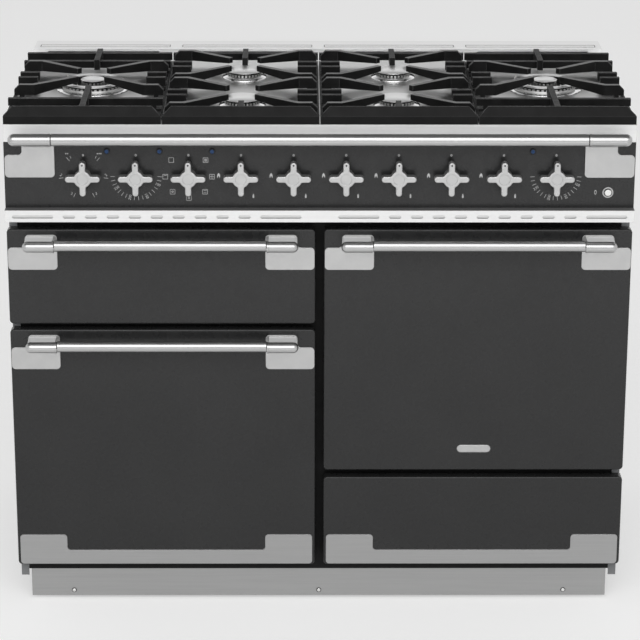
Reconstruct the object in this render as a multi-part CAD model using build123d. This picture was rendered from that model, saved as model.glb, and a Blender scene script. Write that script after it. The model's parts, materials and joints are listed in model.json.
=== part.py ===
from build123d import *
import math
import os

# A free-standing dual fuel range cooker, in millimetres.
# +X is to the right, +Y to the back, +Z up; the origin is on the floor under the middle of the outer box.

# Overall sizes
body_width = 1092.0
body_depth = 608.0
hob_height = 905.0
handle_reach = 44.0
sheet = 1.5
liner_sheet = 1.2
seat_gap = 0.3
running_gap = 0.05
press_gap = 0.02

# Levels, worked down from the hob to the floor
hob_skirt = 31.0
control_panel_height = 118.0
vent_strip_height = 21.0
door_top_gap = 18.5
grill_door_height = 174.0
oven_door_height = 451.0
left_door_gap = 10.5
right_door_gap = 13.5
base_level = 60.0
side_panel_foot = 48.0
control_panel_top = hob_height - hob_skirt
control_panel_bottom = control_panel_top - control_panel_height
vent_strip_bottom = control_panel_bottom - vent_strip_height
door_top = vent_strip_bottom - door_top_gap
grill_door_bottom = door_top - grill_door_height
left_door_top = grill_door_bottom - left_door_gap
left_door_bottom = left_door_top - oven_door_height
right_door_bottom = door_top - oven_door_height
drawer_top = right_door_bottom - right_door_gap
drawer_bottom = left_door_bottom
base_top = base_level + 2 * sheet

# Depths, measured from the outer face of the doors
front_y = (handle_reach - body_depth) / 2
back_y = front_y + body_depth
door_depth = 20.0
frame_gap = 10.0
frame_front_y = front_y + door_depth + frame_gap
frame_back_y = frame_front_y + sheet
rear_panel_inset = 20.0
rear_panel_y = back_y - rear_panel_inset
vent_strip_reach = 19.0
hob_overhang = 2.0
hob_back_gap = 2.0
hob_back_y = back_y - hob_back_gap

# Widths
half_width = body_width / 2
side_inset = 2.0
side_return = 16.0
side_face_x = half_width - side_inset
side_inner_x = side_face_x - liner_sheet
centre_gap = 15.0
door_width = (body_width - centre_gap) / 2
left_door_x = -(centre_gap + door_width) / 2
right_door_x = -left_door_x

# Door panels and their hinges
door_corner = 7.0
door_edge_round = 3.0
door_skin = 2 * sheet
liner_margin = 12.0
liner_depth = 7.5
liner_foot = 32.0
hinge_back = 10.0
hinge_rise = 12.0
hinge_inset = 19.0
lug_width = 6.0
lug_round = 6.0
lug_slot_gap = 2.0
ear_width = 3.0
ear_gap = 1.0
pin_radius = 4.0
pin_overrun = 1.0

# Oven and grill chambers
oven_margin_x = 49.0
oven_margin_z = 50.0
oven_chamber_depth = 420.0
grill_margin_z = 28.0
grill_chamber_depth = 380.0
chamber_flange = 14.0
seal_width = 7.0
seal_offset = 3.0
rib_size = 7.0
rib_levels = (0.2, 0.45, 0.7)
shelf_ribs = (0, 2)
shelf_gap = 4.0
shelf_wire = 3.0
shelf_bar = 2.0
shelf_bar_inset = 4.0
shelf_bar_count = 13
fan_radius = 70.0
fan_blade_count = 8
fan_wall_gap = 8.0
fan_blade_depth = 18.0
fan_blade_sheet = 1.5
fan_hub_radius = 13.0
shaft_radius = 4.0
motor_radius = 34.0
motor_length = 46.0
ring_element_radius = 88.0
element_wire = 3.5
element_stub = 12.0
element_stub_radius = 2.8
grill_element_runs = 6
grill_element_drop = 14.0
grill_pan_height = 26.0
grill_pan_gap = 3.0
grill_pan_length = 330.0
grill_rib_level = 0.12
grill_element_front = 30.0
grill_element_side = 40.0
grill_element_flat = 4.0
shelf_front_gap = 20.0
shelf_length = 340.0
fan_shaft_overrun = 20.0
fan_shaft_end_gap = 1.0

# Storage drawer
drawer_margin_x = 26.0
drawer_floor_rise = 20.0
drawer_top_drop = 30.0
drawer_length = 470.0
drawer_clearance = 3.0
runner_ledge = 12.0
runner_rise = 20.0

# Handles and the hand rail
bar_radius = 8.0
ferrule_wall = 1.5
ferrule_overhang = 2.0
ferrule_end_inset = 6.0
ferrule_bead = 3.0
ferrule_bead_rise = 0.7
ferrule_bore = 34.0
handle_drop = 22.0
plate_thickness = 3.0
plate_width = 86.0
neck_width = 56.0
plate_height = 40.0
plate_edge = 1.5
plate_round = 7.0
neck_rise_over_bar = 12.0
plate_drop_under_bar = 11.0
arm_drop = 5.0
arm_inset = 2.0
rail_radius = 9.0
rail_drop = 19.5
rail_plate_drop = 34.6
rail_overhang = 20.4
rail_arm_root = 8.5

# Bottom corner trims
trim_edge = 5.0
trim_thickness = 2.0
trim_corner_width = 85.0
trim_corner_height = 57.0
trim_band_height = 27.0
trim_round = 6.0

# Controls
knob_count = 10
knob_pitch = 90.9
knob_drop = 60.2
knob_span = 60.5
knob_arm = 11.0
knob_hub_radius = 15.0
knob_face_reach = 29.0
knob_arm_depth = 15.0
knob_skirt_radius = 13.0
knob_gap = 1.0
knob_dish_radius = 9.5
knob_dish_depth = 1.2
knob_edge_round = 2.0
knob_fillet = 3.5
spindle_radius = 4.0
spindle_hole_gap = 2.0
spindle_socket = 14.0
lamp_radius = 4.5
lamp_drop = 17.0
lamp_offset = 41.0
lamp_reach = 2.5
lamp_depth = 22.0
lamp_knobs = ((0, 1), (1, 1), (2, 1), (9, -1))
burner_knobs = range(3, 9)
tap_collar_radius = 9.0
tap_collar_length = 32.0
tap_width = 26.0
tap_height = 34.0
tap_depth = 20.0
control_width = 44.0
control_height = 44.0
control_depth = 38.0
gas_pipe_radius = 8.5
gas_pipe_bend = 40.0
button_x = 500.0
button_drop = 90.0
button_radius = 6.3
button_reach = 5.0
button_travel = 3.0
button_length = 22.0
button_edge = 1.0
bezel_radius = 9.5
bezel_reach = 2.0
switch_neck_radius = 8.0
switch_size = 24.0
switch_depth = 34.0

knob_z = control_panel_top - knob_drop
lamp_z = control_panel_top - lamp_drop
button_z = control_panel_top - button_drop

# Vent slots of the strip under the control panel
strip_slot_height = 5.5
strip_slot_drop = 11.5
strip_long_slot = 71.0
strip_short_slot = 21.0
strip_slot_pitch = 38.0
strip_short_count = 9
strip_slot_gap = 17.0
strip_middle = 282.5
strip_return = 12.0

# Vent trim across the back of the hob
vent_trim_height = 12.0
vent_trim_depth = 74.0
vent_trim_edge = 3.0
vent_sections = 4
vent_slot_length = 252.0
vent_slot_width = 3.0
vent_slot_pitch = 14.0
vent_front_slot_length = 212.0

# Plinth and feet
plinth_inset = 31.0
plinth_half_width = 526.0
plinth_clearance = 6.0
plinth_screw_x = 449.0
plinth_screw_z = 16.5
screw_head_radius = 3.5
screw_head_height = 2.0
screw_head_round = 1.6
screw_shank_radius = 1.6
screw_length = 9.0
tab_width = 24.0
tab_floor_gap = 10.0
foot_x = 470.0
foot_inset = 78.0
foot_radius = 20.0
foot_pad = 9.0
foot_round = 3.0
foot_stem_radius = 5.0
foot_nut_radius = 9.0
foot_nut_height = 8.0
foot_thread_above = 16.0
roller_inset = 60.0
roller_radius = 22.0
roller_width = 24.0
roller_side_gap = 1.0
cheek_thickness = 3.0
cheek_depth = 26.0

# Rear connections
gas_inlet_x = 470.0
gas_inlet_radius = 10.5
gas_inlet_length = 16.0
terminal_x = 380.0
terminal_z = 150.0
terminal_width = 120.0
terminal_height = 90.0
terminal_clearance = 2.0
gland_radius = 6.0

# Hob, burners and pan supports
burner_hole_gap = 0.4
burner_hole_radius = 30.0
burner_cup_depth = 24.0
burner_flange_radius = 44.0
burner_flange = 4.0
burner_head_radius = 39.0
burner_head_top_radius = 30.0
burner_head = 9.0
burner_crown_inset = 1.5
burner_cap_radius = 26.0
burner_cap = 3.5
burner_slots = 24
burner_slot_width = 2.0
burner_slot_height = 4.0
wok_flange_radius = 67.0
wok_ring_foot_radius = 61.0
wok_ring_radius = 57.0
wok_ring_inner = 45.0
wok_core_radius = 24.0
flame_slot_depth = 3.0
wok_web = 3.0
wok_cap_radius = 21.5
electrode_radius = 1.6
electrode_rise = 10.0
electrode_offset = 4.0
wok_y = front_y + 262.0
rear_burner_y = front_y + 348.0
front_burner_y = front_y + 130.0
support_width = body_width / 4
support_seam = 2.0
support_front_y = front_y - 1.0
support_back_y = front_y + 455.0
support_height = 30.0
support_foot = 9.0
finger_width = 10.0
finger_depth = 19.0
finger_tip_depth = 10.0
finger_end_gap = 4.0
finger_end_chamfer = 9.0
finger_straight = 34.0
finger_tip_x = 26.0
finger_tip_y = 31.0
finger_spread_y = 93.0
stub_length = 35.0
stub_spread = 19.0
beam_depth = 11.0
beam_face = 14.0
beam_crest = 2.0
casting_overlap = 1.0
bar_drop = 6.0
side_rail = 3.0
side_rail_height = 6.0
support_foot_inset = 22.0
rear_bar_y = front_y + 446.0
wok_front_bar_y = front_y + 92.0
wok_rear_bar_y = front_y + 381.0
stub_drop = 4.0
wok_finger_gap = 98.0
rear_finger_gap = 30.0
front_finger_gap = 80.0


def block(x0, x1, y0, y1, z0, z1):
    """A box between two corners."""
    return Pos((x0 + x1) / 2, (y0 + y1) / 2, (z0 + z1) / 2) * Box(x1 - x0, y1 - y0, z1 - z0)


def rod_x(x0, x1, y, z, radius):
    """A round bar along X."""
    return Pos((x0 + x1) / 2, y, z) * Rot(0, 90, 0) * Cylinder(radius, x1 - x0)


def rod_y(x, y0, y1, z, radius):
    """A round bar along Y."""
    return Pos(x, (y0 + y1) / 2, z) * Rot(90, 0, 0) * Cylinder(radius, y1 - y0)


def rod_z(x, y, z0, z1, radius):
    """A round bar along Z."""
    return Pos(x, y, (z0 + z1) / 2) * Cylinder(radius, z1 - z0)


def front_plate(x, y0, y1, z0, z1, width, corner):
    """A plate facing the front, with rounded corners, centred on x."""
    outline = RectangleRounded(width, z1 - z0, corner)
    return Pos(x, y1, (z0 + z1) / 2) * Rot(90, 0, 0) * extrude(outline, y1 - y0)


def frame_ring(x0, x1, y0, y1, z0, z1, width):
    """A rectangular loop round an opening that faces the front."""
    outer = block(x0 - width, x1 + width, y0, y1, z0 - width, z1 + width)
    return outer - block(x0, x1, y0, y1, z0, z1)


def save(node, *pieces):
    """Write the solids of one node."""
    solids = [solid for piece in pieces for solid in piece.solids()]
    shape = solids[0] if len(solids) == 1 else Compound(children=solids)
    export_step(shape, f"parts/{node}.step")


def door_span(centre_x):
    """Left and right edges of a door."""
    return centre_x - door_width / 2, centre_x + door_width / 2


def oven_opening(centre_x, bottom):
    """Clear opening of an oven chamber behind its door."""
    x0, x1 = door_span(centre_x)
    z0 = bottom + oven_margin_z
    z1 = bottom + oven_door_height - oven_margin_z
    return x0 + oven_margin_x, x1 - oven_margin_x, z0, z1


def grill_opening():
    """Clear opening of the grill chamber."""
    x0, x1 = door_span(left_door_x)
    z0 = grill_door_bottom + grill_margin_z
    z1 = door_top - grill_margin_z
    return x0 + oven_margin_x, x1 - oven_margin_x, z0, z1


def drawer_opening():
    """Clear opening for the drawer box."""
    x0, x1 = door_span(right_door_x)
    z0 = drawer_bottom + drawer_floor_rise - drawer_clearance - sheet
    z1 = drawer_top - drawer_top_drop + drawer_clearance
    return x0 + drawer_margin_x - drawer_clearance, x1 - drawer_margin_x + drawer_clearance, z0, z1


hinged_doors = (
    (left_door_x, grill_door_bottom),
    (left_door_x, left_door_bottom),
    (right_door_x, right_door_bottom),
)
hinge_y = front_y + hinge_back


def hinge_sides(centre_x):
    """Outer edge of each hinge lug of a door, with the direction towards the door's middle."""
    x0, x1 = door_span(centre_x)
    return (x0 + hinge_inset, 1), (x1 - hinge_inset, -1)


def make_base_frame():
    """Floor plate with roller brackets, axles, foot bushes and plinth tabs."""
    plate = block(-side_inner_x, side_inner_x, frame_front_y, rear_panel_y + sheet, base_level, base_top)
    tab_y = front_y + plinth_inset + sheet
    for x in (-plinth_screw_x, 0, plinth_screw_x):
        tab = block(x - tab_width / 2, x + tab_width / 2, tab_y, tab_y + sheet, tab_floor_gap, base_level)
        hole = rod_y(x, tab_y - sheet, tab_y + 2 * sheet, plinth_screw_z, screw_shank_radius + press_gap)
        plate += tab - hole
    roller_y = back_y - roller_inset
    for x in (-foot_x, foot_x):
        half = roller_width / 2 + roller_side_gap
        for side in (-1, 1):
            c0, c1 = sorted((x + side * half, x + side * (half + cheek_thickness)))
            reach = cheek_depth / 2
            cheek = block(c0, c1, roller_y - reach, roller_y + reach, roller_radius, base_level)
            plate += cheek + rod_x(c0, c1, roller_y, roller_radius, reach)
        plate += rod_x(x - half, x + half, roller_y, roller_radius, shaft_radius)
        foot_y = front_y + foot_inset
        bush = rod_z(x, foot_y, base_top, base_top + foot_thread_above, foot_nut_radius)
        plate += bush
        plate -= rod_z(x, foot_y, base_level, base_top + foot_thread_above, foot_stem_radius + running_gap)
    return plate


def make_side_panel(side):
    """One outer side sheet with a return at its front edge."""
    x0, x1 = sorted((side * side_inner_x, side * side_face_x))
    top = hob_height - sheet
    skin = block(x0, x1, frame_front_y, hob_back_y - 2 * sheet, side_panel_foot, top)
    inner = side * (half_width - side_return)
    r0, r1 = sorted((inner, side * side_face_x))
    y0 = frame_front_y - liner_sheet
    return skin + block(r0, r1, y0, frame_front_y, side_panel_foot, control_panel_top)


def make_rear_panel():
    """Back sheet, with the hole for the gas inlet."""
    y0 = rear_panel_y
    panel = block(-side_inner_x, side_inner_x, y0, y0 + sheet, base_top, hob_height - sheet)
    return panel - rod_y(gas_inlet_x, y0 - sheet, y0 + 2 * sheet, knob_z, gas_pipe_radius + running_gap)


def make_terminal_cover():
    """Mains terminal cover on the back sheet, with a cord gland hole underneath."""
    y0 = rear_panel_y + sheet
    y1 = back_y - terminal_clearance
    x0 = -terminal_x - terminal_width / 2
    box = block(x0, x0 + terminal_width, y0, y1, terminal_z, terminal_z + terminal_height)
    box -= block(x0 + sheet, x0 + terminal_width - sheet, y0, y1 - sheet, terminal_z + sheet,
                 terminal_z + terminal_height - sheet)
    gland_y = (y0 + y1 - sheet) / 2
    return box - rod_z(-terminal_x, gland_y, terminal_z, terminal_z + sheet, gland_radius)


def make_front_frame():
    """Black front sheet that carries the chambers and the hinge lugs."""
    half = side_inner_x
    frame = block(-half, half, frame_front_y, frame_back_y, base_top, control_panel_bottom)
    openings = [oven_opening(left_door_x, left_door_bottom), oven_opening(right_door_x, right_door_bottom)]
    openings += [grill_opening(), drawer_opening()]
    for x0, x1, z0, z1 in openings:
        frame -= block(x0, x1, frame_front_y, frame_back_y, z0, z1)
    for centre_x, bottom in hinged_doors:
        z = bottom + hinge_rise
        for edge, inward in hinge_sides(centre_x):
            x0, x1 = sorted((edge, edge + inward * lug_width))
            lug = block(x0, x1, hinge_y, frame_front_y, z - lug_round, z + lug_round)
            lug += rod_x(x0, x1, hinge_y, z, lug_round)
            frame += lug - rod_x(x0, x1, hinge_y, z, pin_radius + press_gap)
    return frame


def make_hinge_pins():
    """Steel pins through the hinge lugs and the door ears."""
    pins = []
    for centre_x, bottom in hinged_doors:
        for edge, inward in hinge_sides(centre_x):
            far = edge + inward * (lug_width + ear_gap + ear_width + pin_overrun)
            x0, x1 = sorted((edge - inward * pin_overrun, far))
            pins.append(rod_x(x0, x1, hinge_y, bottom + hinge_rise, pin_radius))
    return pins


def make_chamber(opening, depth, levels):
    """An enamelled chamber open at the front, with pressed shelf ribs on its sides."""
    x0, x1, z0, z1 = opening
    wall = liner_sheet
    y0 = frame_back_y
    y1 = y0 + depth
    shell = block(x0 - wall, x1 + wall, y0, y1 + wall, z0 - wall, z1 + wall)
    rim = chamber_flange
    shell += block(x0 - rim, x1 + rim, y0, y0 + wall, z0 - rim, z1 + rim)
    shell -= block(x0, x1, y0, y1, z0, z1)
    for level in levels:
        rib_z = z0 + level * (z1 - z0)
        for inner, inward in ((x0, 1), (x1, -1)):
            r0, r1 = sorted((inner, inner + inward * rib_size))
            shell += block(r0, r1, y0, y1, rib_z, rib_z + rib_size)
    return shell


def fan_centre(opening):
    """Middle of an oven chamber's back wall."""
    x0, x1, z0, z1 = opening
    return (x0 + x1) / 2, frame_back_y + oven_chamber_depth, (z0 + z1) / 2


def make_oven_chamber(opening):
    """An oven chamber with the hole for its fan shaft."""
    x, y, z = fan_centre(opening)
    chamber = make_chamber(opening, oven_chamber_depth, rib_levels)
    return chamber - rod_y(x, y - sheet, y + 2 * sheet, z, shaft_radius + running_gap)


def make_seal(opening):
    """Door seal lying on the front frame round an opening."""
    x0, x1, z0, z1 = opening
    back = frame_front_y
    front = front_y + door_depth + liner_depth + seat_gap
    grow = seal_offset
    return frame_ring(x0 - grow, x1 + grow, front, back, z0 - grow, z1 + grow, seal_width)


def make_shelf(opening, level):
    """A wire shelf resting on one pair of ribs."""
    x0, x1, z0, z1 = opening
    z = z0 + level * (z1 - z0) + rib_size + shelf_wire
    left = x0 + shelf_gap
    right = x1 - shelf_gap
    front = frame_back_y + shelf_front_gap
    back = front + shelf_length
    shelf = rod_x(left, right, front, z, shelf_wire) + rod_x(left, right, back, z, shelf_wire)
    step = (right - left - 2 * shelf_bar_inset) / (shelf_bar_count - 1)
    for index in range(shelf_bar_count):
        x = left + shelf_bar_inset + index * step
        shelf += rod_y(x, front, back, z, shelf_bar)
    return shelf


def make_fan(opening):
    """Oven fan: hub, shaft, back disc and straight blades."""
    x, wall_y, z = fan_centre(opening)
    back = wall_y - fan_wall_gap
    front = back - fan_blade_depth
    fan = rod_y(x, front, wall_y + liner_sheet + fan_shaft_overrun, z, shaft_radius)
    fan += rod_y(x, front, back, z, fan_hub_radius)
    fan += rod_y(x, back - fan_blade_sheet, back, z, fan_radius)
    for index in range(fan_blade_count):
        root = fan_hub_radius - fan_blade_sheet
        blade = block(root, fan_radius, front, back, -fan_blade_sheet / 2, fan_blade_sheet / 2)
        fan += Pos(x, 0, z) * Rot(0, index * 360 / fan_blade_count, 0) * blade
    return fan


def make_fan_motor(opening):
    """Fan motor on the outside of an oven chamber's back wall."""
    x, wall_y, z = fan_centre(opening)
    front = wall_y + liner_sheet
    motor = rod_y(x, front, front + motor_length, z, motor_radius)
    bore_end = front + fan_shaft_overrun + fan_shaft_end_gap
    return motor - rod_y(x, front, bore_end, z, shaft_radius + running_gap)


def make_ring_element(opening):
    """Ring heater round an oven fan, on two stubs from the back wall."""
    x, wall_y, z = fan_centre(opening)
    ring_y = wall_y - element_stub
    ring = Pos(x, ring_y, z) * Rot(90, 0, 0) * Torus(ring_element_radius, element_wire)
    for side in (-1, 1):
        ring += rod_y(x + side * ring_element_radius, ring_y, wall_y, z, element_stub_radius)
    return ring


def make_grill_element():
    """Grill heater: parallel runs joined by bends under the chamber roof."""
    x0, x1, z0, z1 = grill_opening()
    y0 = frame_back_y + grill_element_front
    y1 = frame_back_y + grill_chamber_depth - grill_element_drop
    pitch = (x1 - x0 - 2 * grill_element_side) / (grill_element_runs - 1)
    z = z1 - grill_element_drop
    points = [(x0 + grill_element_side, frame_back_y + grill_chamber_depth, z)]
    for index in range(grill_element_runs):
        x = x0 + grill_element_side + index * pitch
        ends = [(x, y0, z), (x, y1, z)]
        points += ends if index % 2 else ends[::-1]
    points[1:2] = []
    points[-1] = (points[-1][0], frame_back_y + grill_chamber_depth, z)
    path = FilletPolyline(*points, radius=pitch / 2 - grill_element_flat)
    return sweep(Plane(origin=path @ 0, z_dir=path % 0) * Circle(element_wire), path=path)


def make_grill_pan():
    """Open grill pan standing on the grill chamber's ribs."""
    x0, x1, z0, z1 = grill_opening()
    bottom = z0 + grill_rib_level * (z1 - z0) + rib_size
    left = x0 + grill_pan_gap
    right = x1 - grill_pan_gap
    front = frame_back_y + shelf_front_gap
    back = front + grill_pan_length
    pan = block(left, right, front, back, bottom, bottom + grill_pan_height)
    return pan - block(left + sheet, right - sheet, front + sheet, back - sheet, bottom + sheet,
                       bottom + grill_pan_height)


def make_door_panel(centre_x, bottom, top, hinged):
    """Outer door skin: a shallow tray with rounded corners, hinge ears and slots for the hinge lugs."""
    skin = front_plate(centre_x, front_y, front_y + door_depth, bottom, top, door_width, door_corner)
    face = skin.faces().sort_by(Axis.Y)[0]
    skin = fillet(face.edges(), door_edge_round)
    x0, x1 = door_span(centre_x)
    skin -= block(x0 + door_skin, x1 - door_skin, front_y + door_skin, front_y + door_depth,
                  bottom + door_skin, top - door_skin)
    if not hinged:
        return skin
    z = bottom + hinge_rise
    for edge, inward in hinge_sides(centre_x):
        s0, s1 = sorted((edge - inward * lug_slot_gap, edge + inward * (lug_width + ear_gap)))
        skin -= block(s0, s1, hinge_y - lug_round - lug_slot_gap + sheet / 2, front_y + door_depth, bottom,
                      bottom + door_skin)
        near = edge + inward * (lug_width + ear_gap)
        e0, e1 = sorted((near, near + inward * ear_width))
        ear = block(e0, e1, front_y + sheet, hinge_y, bottom + sheet, z + lug_round)
        ear += block(e0, e1, hinge_y, hinge_y + lug_round, bottom + sheet, z)
        ear += rod_x(e0, e1, hinge_y, z, lug_round)
        skin += ear
        skin -= rod_x(e0 - ear_gap, e1 + ear_gap, hinge_y, z, pin_radius + running_gap)
    return skin


def make_door_liner(centre_x, bottom, top, opening):
    """Inner door sheet with a raised plug over the chamber opening."""
    x0, x1 = door_span(centre_x)
    back = front_y + door_depth
    inner = back - liner_sheet
    flat = block(x0 + door_skin, x1 - door_skin, inner, back, bottom + liner_foot, top - door_skin)
    o0, o1, z0, z1 = opening
    grow = liner_margin
    plug = block(o0 - grow, o1 + grow, back, back + liner_depth, z0 - grow, z1 + grow)
    hollow = liner_margin - liner_sheet
    low = max(z0 - hollow, bottom + liner_foot + liner_sheet)
    dish = block(o0 - hollow, o1 + hollow, inner, inner + liner_depth, low, z1 + hollow)
    return flat + plug - dish


def bar_offset(radius):
    """Distance from the face that carries a handle to the middle of its bar."""
    return handle_reach - radius - ferrule_wall - ferrule_bead_rise


def make_bracket(plate_x, inward, face_y, bar_z, plate_top, neck_top, arm_foot, bore, overhang):
    """A handle bracket: an L-shaped plate, an arm and a ferrule that takes the bar's end.

    plate_x is the plate's outer edge, inward points along X to the middle of the bar, arm_foot
    is the arm's underside at the plate, and overhang is how far the ferrule's round end stands
    out past the plate's neck.
    """
    neck_start = plate_width - neck_width
    points = [
        (0, plate_top - plate_height),
        (plate_width, plate_top - plate_height),
        (plate_width, neck_top),
        (neck_start, neck_top),
        (neck_start, plate_top),
        (0, plate_top),
    ]
    outline = make_face(Polyline([(inward * x, z) for x, z in points], close=True))
    outline = fillet(outline.vertices(), plate_round)
    plate = Pos(plate_x, face_y, 0) * Rot(90, 0, 0) * extrude(outline, plate_thickness)
    centre_y = face_y - bar_offset(bore)
    ferrule_radius = bore + ferrule_wall
    start = plate_x + inward * (neck_start - overhang + ferrule_radius)
    end = plate_x + inward * (plate_width - ferrule_end_inset)
    x0, x1 = sorted((start, end))
    ferrule = rod_x(x0, x1, centre_y, bar_z, ferrule_radius)
    b0, b1 = sorted((end, end + inward * ferrule_bead))
    ferrule += rod_x(b0, b1, centre_y, bar_z, ferrule_radius + ferrule_bead_rise)
    ferrule += Pos(start, centre_y, bar_z) * Sphere(ferrule_radius)
    a0, a1 = sorted((plate_x + inward * (neck_start + arm_inset), end))
    profile = Polyline(
        [
            (face_y, neck_top - arm_inset),
            (centre_y, bar_z + ferrule_radius - arm_drop / 2),
            (centre_y, bar_z - arm_drop),
            (face_y, arm_foot),
        ],
        close=True,
    )
    arm = Pos(a0, 0, 0) * extrude(Plane.YZ * make_face(profile), a1 - a0)
    bracket = plate + arm + ferrule
    bore_x0, bore_x1 = sorted((end - inward * ferrule_bore, end + inward * 2 * ferrule_bead))
    return bracket - rod_x(bore_x0, bore_x1, centre_y, bar_z, bore + press_gap)


def make_handle(left_edge, right_edge, face_y, bar_z, plate_top, neck_top, arm_foot, radius, overhang):
    """A bar held by two mirrored brackets between two plate edges."""
    left = make_bracket(left_edge, 1, face_y, bar_z, plate_top, neck_top, arm_foot, radius, overhang)
    right = make_bracket(right_edge, -1, face_y, bar_z, plate_top, neck_top, arm_foot, radius, overhang)
    inset = plate_width - ferrule_end_inset - ferrule_bore + seat_gap
    bar = rod_x(left_edge + inset, right_edge - inset, face_y - bar_offset(radius), bar_z, radius)
    return bar, left, right


def make_door_handle(centre_x, top):
    """Handle of a door, near its top edge."""
    x0, x1 = door_span(centre_x)
    bar_z = top - handle_drop
    plate_top = bar_z - plate_drop_under_bar
    neck_top = bar_z + neck_rise_over_bar
    return make_handle(x0 + plate_edge, x1 - plate_edge, front_y, bar_z, plate_top, neck_top,
                       plate_top - arm_drop, bar_radius, ferrule_overhang)


def make_hand_rail():
    """Rail across the whole control panel."""
    bar_z = hob_height - rail_drop
    edge = half_width - plate_edge
    neck_top = control_panel_top - plate_edge
    return make_handle(-edge, edge, front_y, bar_z, bar_z - rail_plate_drop, neck_top,
                       neck_top - rail_arm_root, rail_radius, rail_overhang)


def make_trim(centre_x, bottom):
    """Bottom trim of a door or drawer: a thin band with a taller block at each corner."""
    half = door_width / 2 - trim_edge
    low = bottom + trim_edge / 2
    step = half - trim_corner_width
    points = [
        (-half, low),
        (half, low),
        (half, low + trim_corner_height),
        (step, low + trim_corner_height),
        (step, low + trim_band_height),
        (-step, low + trim_band_height),
        (-step, low + trim_corner_height),
        (-half, low + trim_corner_height),
    ]
    outline = fillet(make_face(Polyline(points, close=True)).vertices(), trim_round)
    return Pos(centre_x, front_y, 0) * Rot(90, 0, 0) * extrude(outline, trim_thickness)


def make_drawer_box():
    """Open drawer box with a front sheet that closes the back of the drawer front."""
    x0, x1 = door_span(right_door_x)
    y0 = front_y + door_depth
    y1 = y0 + drawer_length
    z0 = drawer_bottom + drawer_floor_rise
    z1 = drawer_top - drawer_top_drop
    left = x0 + drawer_margin_x
    right = x1 - drawer_margin_x
    box = block(left, right, y0, y1, z0, z1)
    box += block(x0 + sheet, x1 - sheet, y0, y0 + sheet, drawer_bottom + sheet, drawer_top - sheet)
    return box - block(left + sheet, right - sheet, y0 + sheet, y1 - sheet, z0 + sheet, z1)


def make_drawer_runner(side):
    """Angle rail under one edge of the drawer box, from the front frame to the back sheet."""
    x0, x1 = door_span(right_door_x)
    edge = x0 + drawer_margin_x if side < 0 else x1 - drawer_margin_x
    floor = drawer_bottom + drawer_floor_rise - seat_gap
    w0, w1 = sorted((edge + side * seat_gap, edge + side * (seat_gap + sheet)))
    upright = block(w0, w1, frame_back_y, rear_panel_y, floor - sheet, floor + runner_rise)
    l0, l1 = sorted((edge + side * seat_gap, edge - side * runner_ledge))
    return upright + block(l0, l1, frame_back_y, rear_panel_y, floor - sheet, floor)


def knob_x(index):
    """Place of one knob along the control panel."""
    return (index - (knob_count - 1) / 2) * knob_pitch


lamp_xs = [knob_x(index) + side * lamp_offset for index, side in lamp_knobs]


def make_control_panel():
    """Folded control panel sheet with holes for spindles, lamps and the ignition button."""
    y1 = frame_front_y - liner_sheet
    panel = block(-half_width, half_width, front_y, y1, control_panel_bottom, control_panel_top)
    panel -= block(-half_width + sheet, half_width - sheet, front_y + sheet, y1, control_panel_bottom + sheet,
                   control_panel_top - sheet)
    y0 = front_y - sheet
    y2 = front_y + 2 * sheet
    holes = [rod_y(knob_x(i), y0, y2, knob_z, spindle_radius + spindle_hole_gap) for i in range(knob_count)]
    holes += [rod_y(x, y0, y2, lamp_z, lamp_radius + press_gap) for x in lamp_xs]
    holes.append(rod_y(button_x, y0, y2, button_z, switch_neck_radius + press_gap))
    for hole in holes:
        panel -= hole
    return panel


def make_vent_strip():
    """Bright ledge under the control panel, with a row of vent slots in its face."""
    y0 = front_y - vent_strip_reach
    top = control_panel_bottom
    strip = block(-half_width, half_width, y0, frame_front_y - liner_sheet, top - sheet, top)
    strip += block(-half_width, half_width, y0, y0 + sheet, vent_strip_bottom, top)
    low = vent_strip_bottom
    strip += block(-half_width, half_width, y0, y0 + strip_return, low, low + sheet)
    slot_z = top - strip_slot_drop
    shorts = (strip_short_count - 1) * strip_slot_pitch
    for side in (-1, 1):
        middle = side * strip_middle
        first = middle - shorts / 2
        slots = [(first + index * strip_slot_pitch, strip_short_slot) for index in range(strip_short_count)]
        outer = shorts / 2 + strip_short_slot / 2 + strip_slot_gap + strip_long_slot / 2
        slots += [(middle - outer, strip_long_slot), (middle + outer, strip_long_slot)]
        for x, length in slots:
            shape = SlotOverall(length, strip_slot_height)
            strip -= Pos(x, y0 + 2 * sheet, slot_z) * Rot(90, 0, 0) * extrude(shape, 3 * sheet)
    return strip


def make_lamp(x):
    """A neon lamp lens that passes through the control panel."""
    return rod_y(x, front_y - lamp_reach, front_y + lamp_depth, lamp_z, lamp_radius)


def make_knob(index):
    """A four-armed knob with a dished face, and the spindle that turns with it."""
    x = knob_x(index)
    face = front_y - knob_face_reach
    arms = Sketch() + Circle(knob_hub_radius)
    for turn in (0, 90):
        arms += Rot(0, 0, turn) * SlotOverall(knob_span, knob_arm)
    corners = [v for v in arms.vertices() if abs(v.center().length - knob_hub_radius) < press_gap]
    arms = fillet(corners, knob_fillet)
    knob = Pos(x, face + knob_arm_depth, knob_z) * Rot(90, 0, 0) * extrude(arms, knob_arm_depth)
    front = knob.faces().sort_by(Axis.Y)[0]
    knob = fillet(front.edges(), knob_edge_round)
    knob += rod_y(x, face + knob_arm_depth, front_y - knob_gap, knob_z, knob_skirt_radius)
    knob -= rod_y(x, face, face + knob_dish_depth, knob_z, knob_dish_radius)
    socket_end = front_y - knob_gap - spindle_socket
    knob -= rod_y(x, socket_end, front_y, knob_z, spindle_radius + press_gap)
    spindle_back = front_y + sheet + tap_collar_length
    return knob, rod_y(x, socket_end, spindle_back, knob_z, spindle_radius)


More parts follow.
